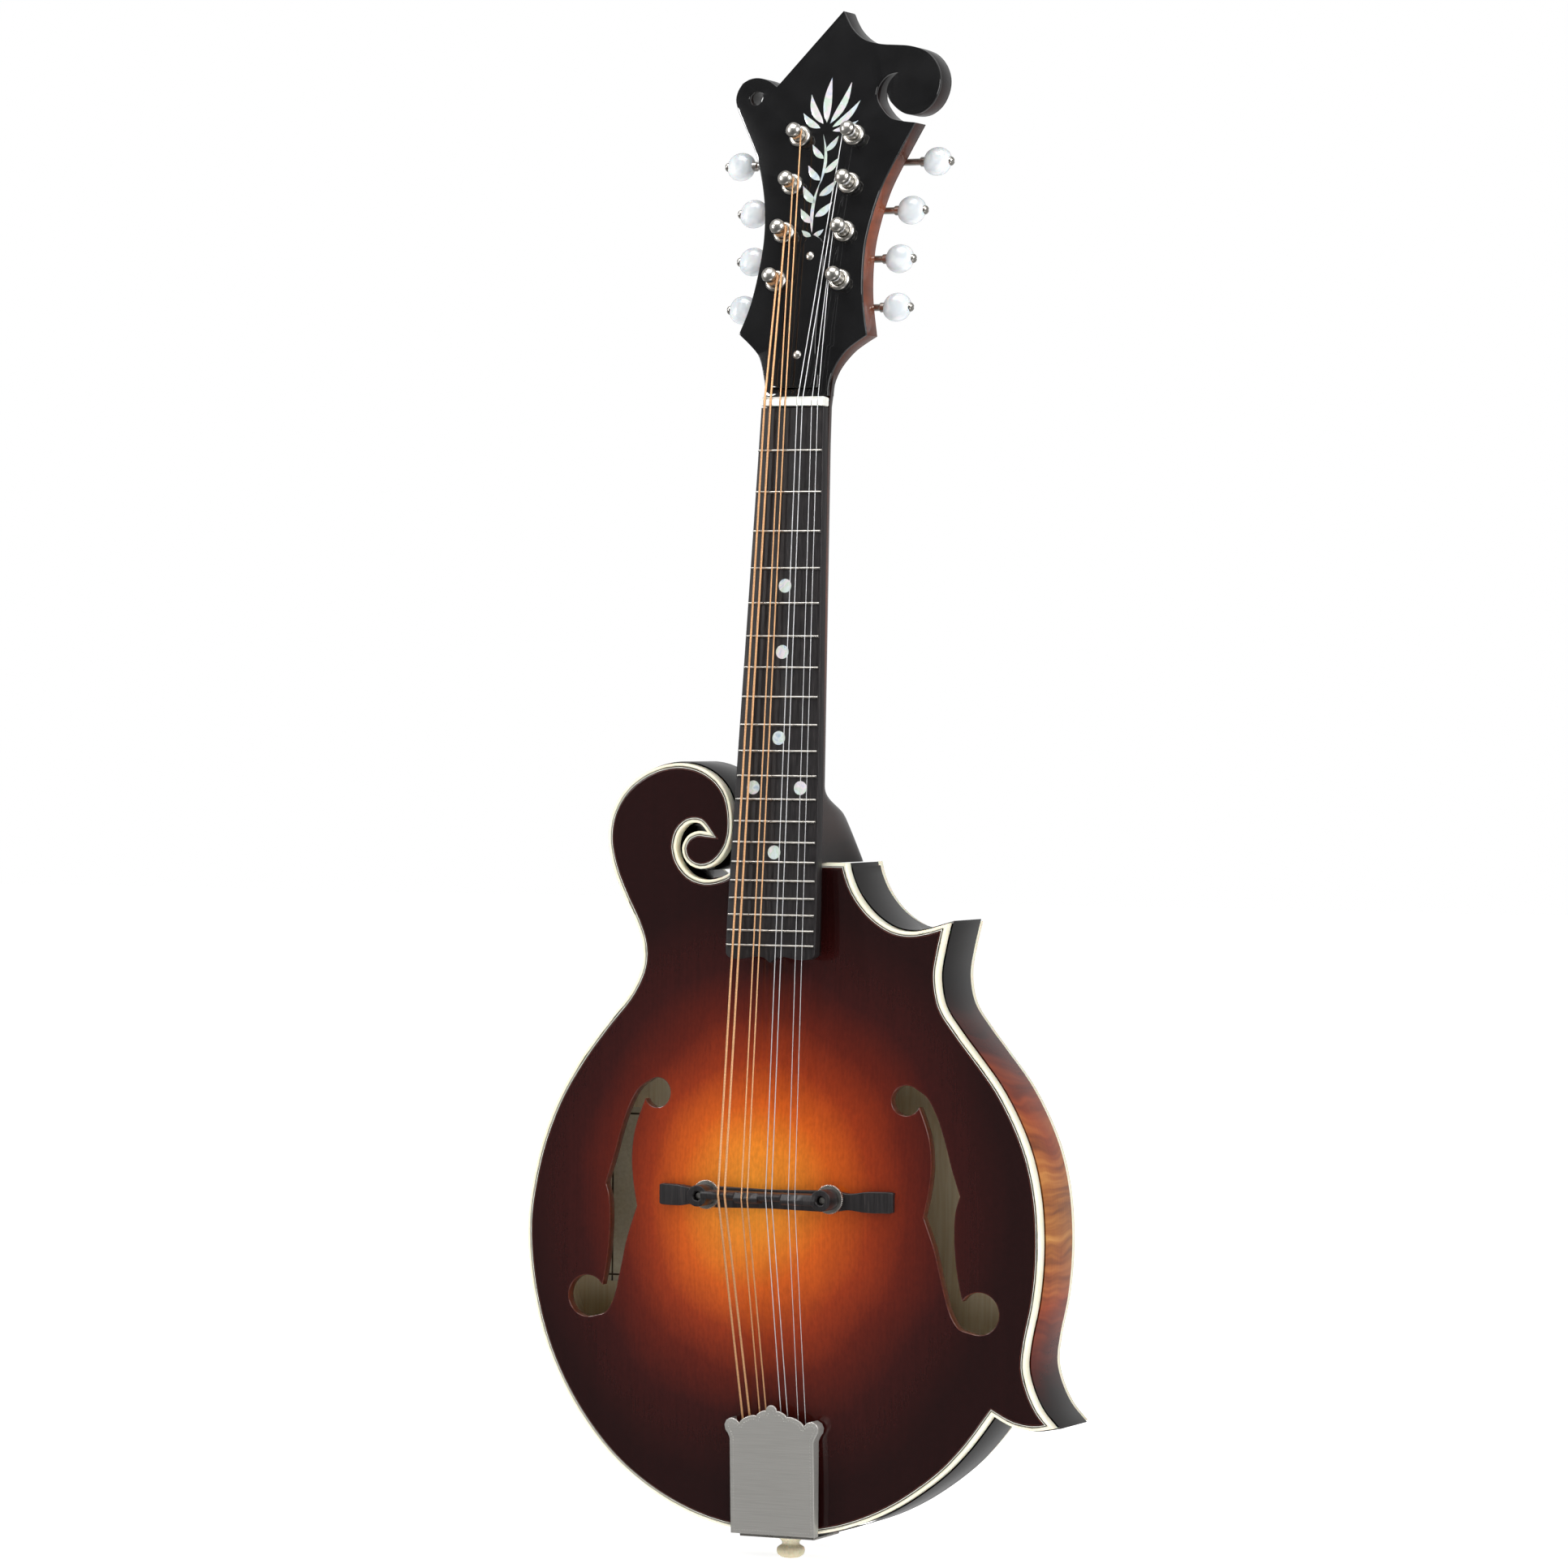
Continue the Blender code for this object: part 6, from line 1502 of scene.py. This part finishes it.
post_profile = eased([
    (0.1 * mm, -POST_HEIGHT), (1.8 * mm, -POST_HEIGHT + 0.25 * mm), (CAP - 0.3 * mm, -POST_HEIGHT + 1.3 * mm),
    (CAP - 0.1 * mm, -POST_HEIGHT + 3.2 * mm), (WAIST_RADIUS, COIL_DEPTH - 1.3 * mm),
    (WAIST_RADIUS, COIL_DEPTH + 3.4 * mm), (BARREL, COIL_DEPTH + 4.2 * mm), (BARREL, GEAR_DEPTH),
    (0.1 * mm, GEAR_DEPTH + 0.1 * mm),
], 0.7 * mm)
plate_back = PLATE_DEPTH + PLATE_SHEET
for side, word in ((-1, "bass"), (1, "treble")):
    plate_loops = face_loops(f"tuner_plate_{word}", BACK)
    outline = counter(refined(flat(plate_loops[0]), 2.0 * mm))
    holes = [counter(refined(flat(loop), 0.6 * mm))[::-1] for loop in plate_loops[1:]]
    board(
        f"tuner_plate_nickel_{word}", [outline, *holes], sloped(face_y, PLATE_DEPTH, plate_back), [nickel],
        rounded=0.1 * mm, rounded_back=0.3 * mm, stands_for=[f"tuner_plate_{word}"], finish_slot="nickel",
    )
    screws = []
    for step in range(4):
        across = TUNER_MIDDLE + side * (HALF_SPREAD - TAPER * step)
        up = FIRST_POST + POST_STEP * step
        screws.append(face_point(across, up + 10.4 * mm - 4.2 * mm * (step == 3), plate_back))
        bushing_place = aimed(face_point(across, up, 0), -face_in)
        collar = eased([
            (BARREL + 0.25 * mm, 0), (BUSHING, 0), (BUSHING - 0.1 * mm, 0.9 * mm),
            (BARREL + 1.2 * mm, 1.5 * mm), (BARREL + 0.25 * mm, 1.4 * mm),
        ], 0.3 * mm, closed=True)
        turned(
            f"bushing_{word}_{step + 1}", collar, bushing_place, 48, [nickel], closed=True,
            finish_slot="nickel",
        )
        post_place = aimed(face_point(across, up, 0), face_in)
        turned(
            f"post_{word}_{step + 1}_shaft", post_profile, post_place, 40, [nickel],
            body=f"post_{word}_{step + 1}", stands_for=[f"string_post_{word}_{step + 1}"],
            finish_slot="nickel",
        )
        gear = eased([
            (0.1 * mm, GEAR_DEPTH), (GEAR_RADIUS, GEAR_DEPTH), (GEAR_RADIUS, GEAR_DEPTH + GEAR_THICKNESS),
            (2.2 * mm, GEAR_DEPTH + GEAR_THICKNESS), (0.1 * mm, GEAR_DEPTH + GEAR_THICKNESS - 0.3 * mm),
        ], 0.25 * mm)
        turned(
            f"post_{word}_{step + 1}_gear", gear, post_place, TEETH * 8, [nickel],
            cut=knurl(TEETH, 0.8 * mm, GEAR_RADIUS - 0.5 * mm), body=f"post_{word}_{step + 1}",
            finish_slot="nickel",
        )

        worm_centre = face_point(across, up - WORM_DROP, WORM_DEPTH)
        knob_across = TUNER_MIDDLE + side * BUTTON_REACH[step]
        reach = abs(knob_across - across) - BUTTON + 0.6 * mm
        worm = [(SHAFT, -WORM_HALF)]
        worm += [(WORM_RADIUS, -WORM_HALF + (0.02 + 0.98 * i / 60) * 2 * WORM_HALF) for i in range(61)]
        worm += [(SHAFT, WORM_HALF + 0.3 * mm)]
        shaft_place = aimed(worm_centre, (side, 0, 0))
        turned(
            f"worm_{word}_{step + 1}", worm, shaft_place, 24, [nickel], cut=thread(1.7 * mm, 0.6 * mm),
            body=f"knob_{word}_{step + 1}", stands_for=[f"worm_shaft_{word}_{step + 1}"],
            finish_slot="nickel",
        )
        rod = eased([
            (SHAFT - 0.05 * mm, WORM_HALF), (SHAFT - 0.05 * mm, reach - 2.4 * mm),
            (2.2 * mm, reach - 2.0 * mm), (2.2 * mm, reach),
        ], 0.3 * mm)
        turned(
            f"shaft_{word}_{step + 1}", rod, shaft_place, 32, [nickel], body=f"knob_{word}_{step + 1}",
            finish_slot="nickel",
        )
        knob_centre = face_point(knob_across, up - WORM_DROP, WORM_DEPTH)
        rings = []
        for i in range(25):
            tilt = math.radians(-84 + 168 * i / 24)
            radius, along = BUTTON * math.cos(tilt) ** 0.85, BUTTON * math.sin(tilt)
            ring = []
            for k in range(48):
                angle = 2 * math.pi * k / 48
                c, s = math.cos(angle), math.sin(angle)
                broad = radius * math.copysign(abs(c) ** SQUARED, c)
                deep = radius * BUTTON_DEPTH / BUTTON * math.copysign(abs(s) ** SQUARED, s)
                ring.append(knob_centre + Vector((along, 0, 0)) + face_up * broad + face_in * deep)
            rings.append(ring)
        lofted(
            f"button_{word}_{step + 1}", rings, [pearloid], body=f"knob_{word}_{step + 1}",
            stands_for=[f"tuner_button_{word}_{step + 1}"], finish_slot="pearl_button", sharp=60,
        )
        scattered(
            f"button_screw_{word}_{step + 1}", screw_tree,
            [knob_centre + Vector((side * (BUTTON - 0.15 * mm), 0, 0))], nickel, "nickel",
            body=f"knob_{word}_{step + 1}", turn=(0, side * math.pi / 2, 0), radius=2.1 * mm,
            height=1.7 * mm,
        )
    below = FIRST_POST - 11.0 * mm
    screws.append(face_point(TUNER_MIDDLE + side * (HALF_SPREAD + TAPER * 0.5), below, plate_back))
    scattered(
        f"tuner_plate_screws_{word}", screw_tree, screws, nickel, "nickel",
        turn=(-math.pi / 2 - HEAD_TILT, 0, 0), radius=1.5 * mm, height=0.6 * mm,
    )


# The strings: four pairs, phosphor bronze wound over steel on the bass side and plain steel on the treble.
# Each runs from its coil on the post over the nut and the saddle to its hook.
SIDES = 12
LOOP_RADIUS = 1.3 * mm
COIL_POINTS, POINTS_A_TURN = 100, 36
COIL_PITCH = 2.1  # in string radii

# Phosphor bronze winding: its turns are too fine to see one by one, so they are drawn 0.5 mm apart, as bumps and
# as bands of darker and lighter bronze. The darker bands are painted shade in the grooves between the turns.
wound, tree, shader, spot = new_finish("phosphor_bronze_winding", 0.4, metallic=0.75)
turns = add(
    tree, "ShaderNodeTexWave", {"Vector": spot, "Scale": 2000 / math.pi}, bands_direction="Z",
)
# painted shade: this ramp darkens the bronze in the grooves between the turns and leaves it light on their
# crests
tree.links.new(
    ramp(tree, turns.outputs["Color"], [(0.2, "D9A06E"), (0.8, "F8C797")]), shader.inputs["Base Color"],
)
turn_bump = add(
    tree, "ShaderNodeBump", {"Height": turns.outputs["Color"], "Strength": 0.5, "Distance": 0.0001},
)
tree.links.new(turn_bump.outputs[0], shader.inputs["Normal"])

# Plain tinned steel: thin bright lines
steel, tree, shader, spot = new_finish("plain_string_steel", 0.36, metallic=0.7)
tarnish = add(tree, "ShaderNodeTexNoise", {"Vector": spot, "Scale": 60.0, "Detail": 3.0})
tree.links.new(
    ramp(tree, tarnish.outputs[0], [(0.3, "DCDCDD"), (0.7, "F0F0F1")]), shader.inputs["Base Color"],
)


def tube(name, path, radius, finish, **kept):
    """A round wire along a path."""
    rings = []
    lean = Vector((1, 0, 0))
    for i, point in enumerate(path):
        along = (path[min(i + 1, len(path) - 1)] - path[max(i - 1, 0)]).normalized()
        lean = (lean - along * lean.dot(along)).normalized()
        other = along.cross(lean)
        rings.append([
            point + (lean * math.cos(a) + other * math.sin(a)) * radius
            for a in (2 * math.pi * k / SIDES for k in range(SIDES))
        ])
    return lofted(name, rings, [finish], **kept)


for number, (radius, *_) in enumerate(STRINGS):
    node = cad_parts[f"string_{number + 1}"]
    merged = bmesh.new()
    merged.from_mesh(node.data)
    bmesh.ops.remove_doubles(merged, verts=merged.verts, dist=1e-7)
    rim = sorted((v.co.copy() for v in merged.verts), key=lambda p: -p.z)
    merged.free()
    size = len(rim) // 6
    post, nut_back, nut_front, saddle_front, saddle_back, hook = (
        sum(rim[size * i : size * (i + 1)], Vector()) / size for i in range(6)
    )
    radius *= mm
    side, word = (-1, "bass") if number < 4 else (1, "treble")
    step = number if number < 4 else 7 - number
    finish, finish_slot = (wound, "bronze_string") if side < 0 else (steel, "steel_string")
    crown_z = SADDLE_Z + CROWNS[number // 2]
    crown = saddle_front.lerp(saddle_back, (saddle_front.z - crown_z) / (saddle_front.z - saddle_back.z))
    path = [post, post.lerp(nut_back, 0.97), nut_back, nut_front, nut_front.lerp(crown, 0.5), crown]
    first = tube(f"string_{number + 1}_speaking", path, radius, finish, body=None)
    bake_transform(first)
    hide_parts(node.name)
    path = [crown, crown.lerp(hook, 0.5), hook]
    second = tube(f"string_{number + 1}_tail", path, radius, finish, body=None)
    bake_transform(second)
    loop_middle = hook + Vector((0, 0, -LOOP_RADIUS))
    angles = [2 * math.pi * k / SIDES for k in range(SIDES)]
    loop_section = [(LOOP_RADIUS + radius * math.cos(a), radius * math.sin(a)) for a in angles]
    turned(
        f"string_{number + 1}_loop", loop_section, aimed(loop_middle, BACK), 28, [finish], closed=True,
        finish_slot=finish_slot,
    )
    across = TUNER_MIDDLE + side * (HALF_SPREAD - TAPER * step)
    up = FIRST_POST + POST_STEP * step
    coil = []
    out = WAIST_RADIUS + radius + 0.02 * mm
    for i in range(COIL_POINTS):
        angle = 2 * math.pi * i / POINTS_A_TURN
        depth = COIL_DEPTH + i / POINTS_A_TURN * radius * COIL_PITCH
        coil.append(face_point(across - side * out * math.cos(angle), up + out * math.sin(angle), depth))
    tube(
        f"string_{number + 1}_coil", coil, radius, finish, body=f"post_{word}_{step + 1}",
        finish_slot=finish_slot,
    )
hooks = []
for node in (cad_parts[f"string_{n + 1}"] for n in range(8)):
    low = min((v.co for v in node.data.vertices), key=lambda p: p.z)
    hooks.append((low.x, base_low.y - HOOK_HEIGHT / 2 + 0.2 * mm, low.z - LOOP_RADIUS))


def peg(tree, given):
    """A short round peg."""
    return add(
        tree, "GeometryNodeMeshCylinder",
        {"Vertices": 24, "Radius": given["Radius"], "Depth": given["Height"]},
    ).outputs[0]


scattered(
    "string_hooks", scatter_tree("pegs", peg), hooks, nickel, "nickel", turn=(math.pi / 2, 0, 0),
    radius=HOOK_RADIUS, height=HOOK_HEIGHT,
)
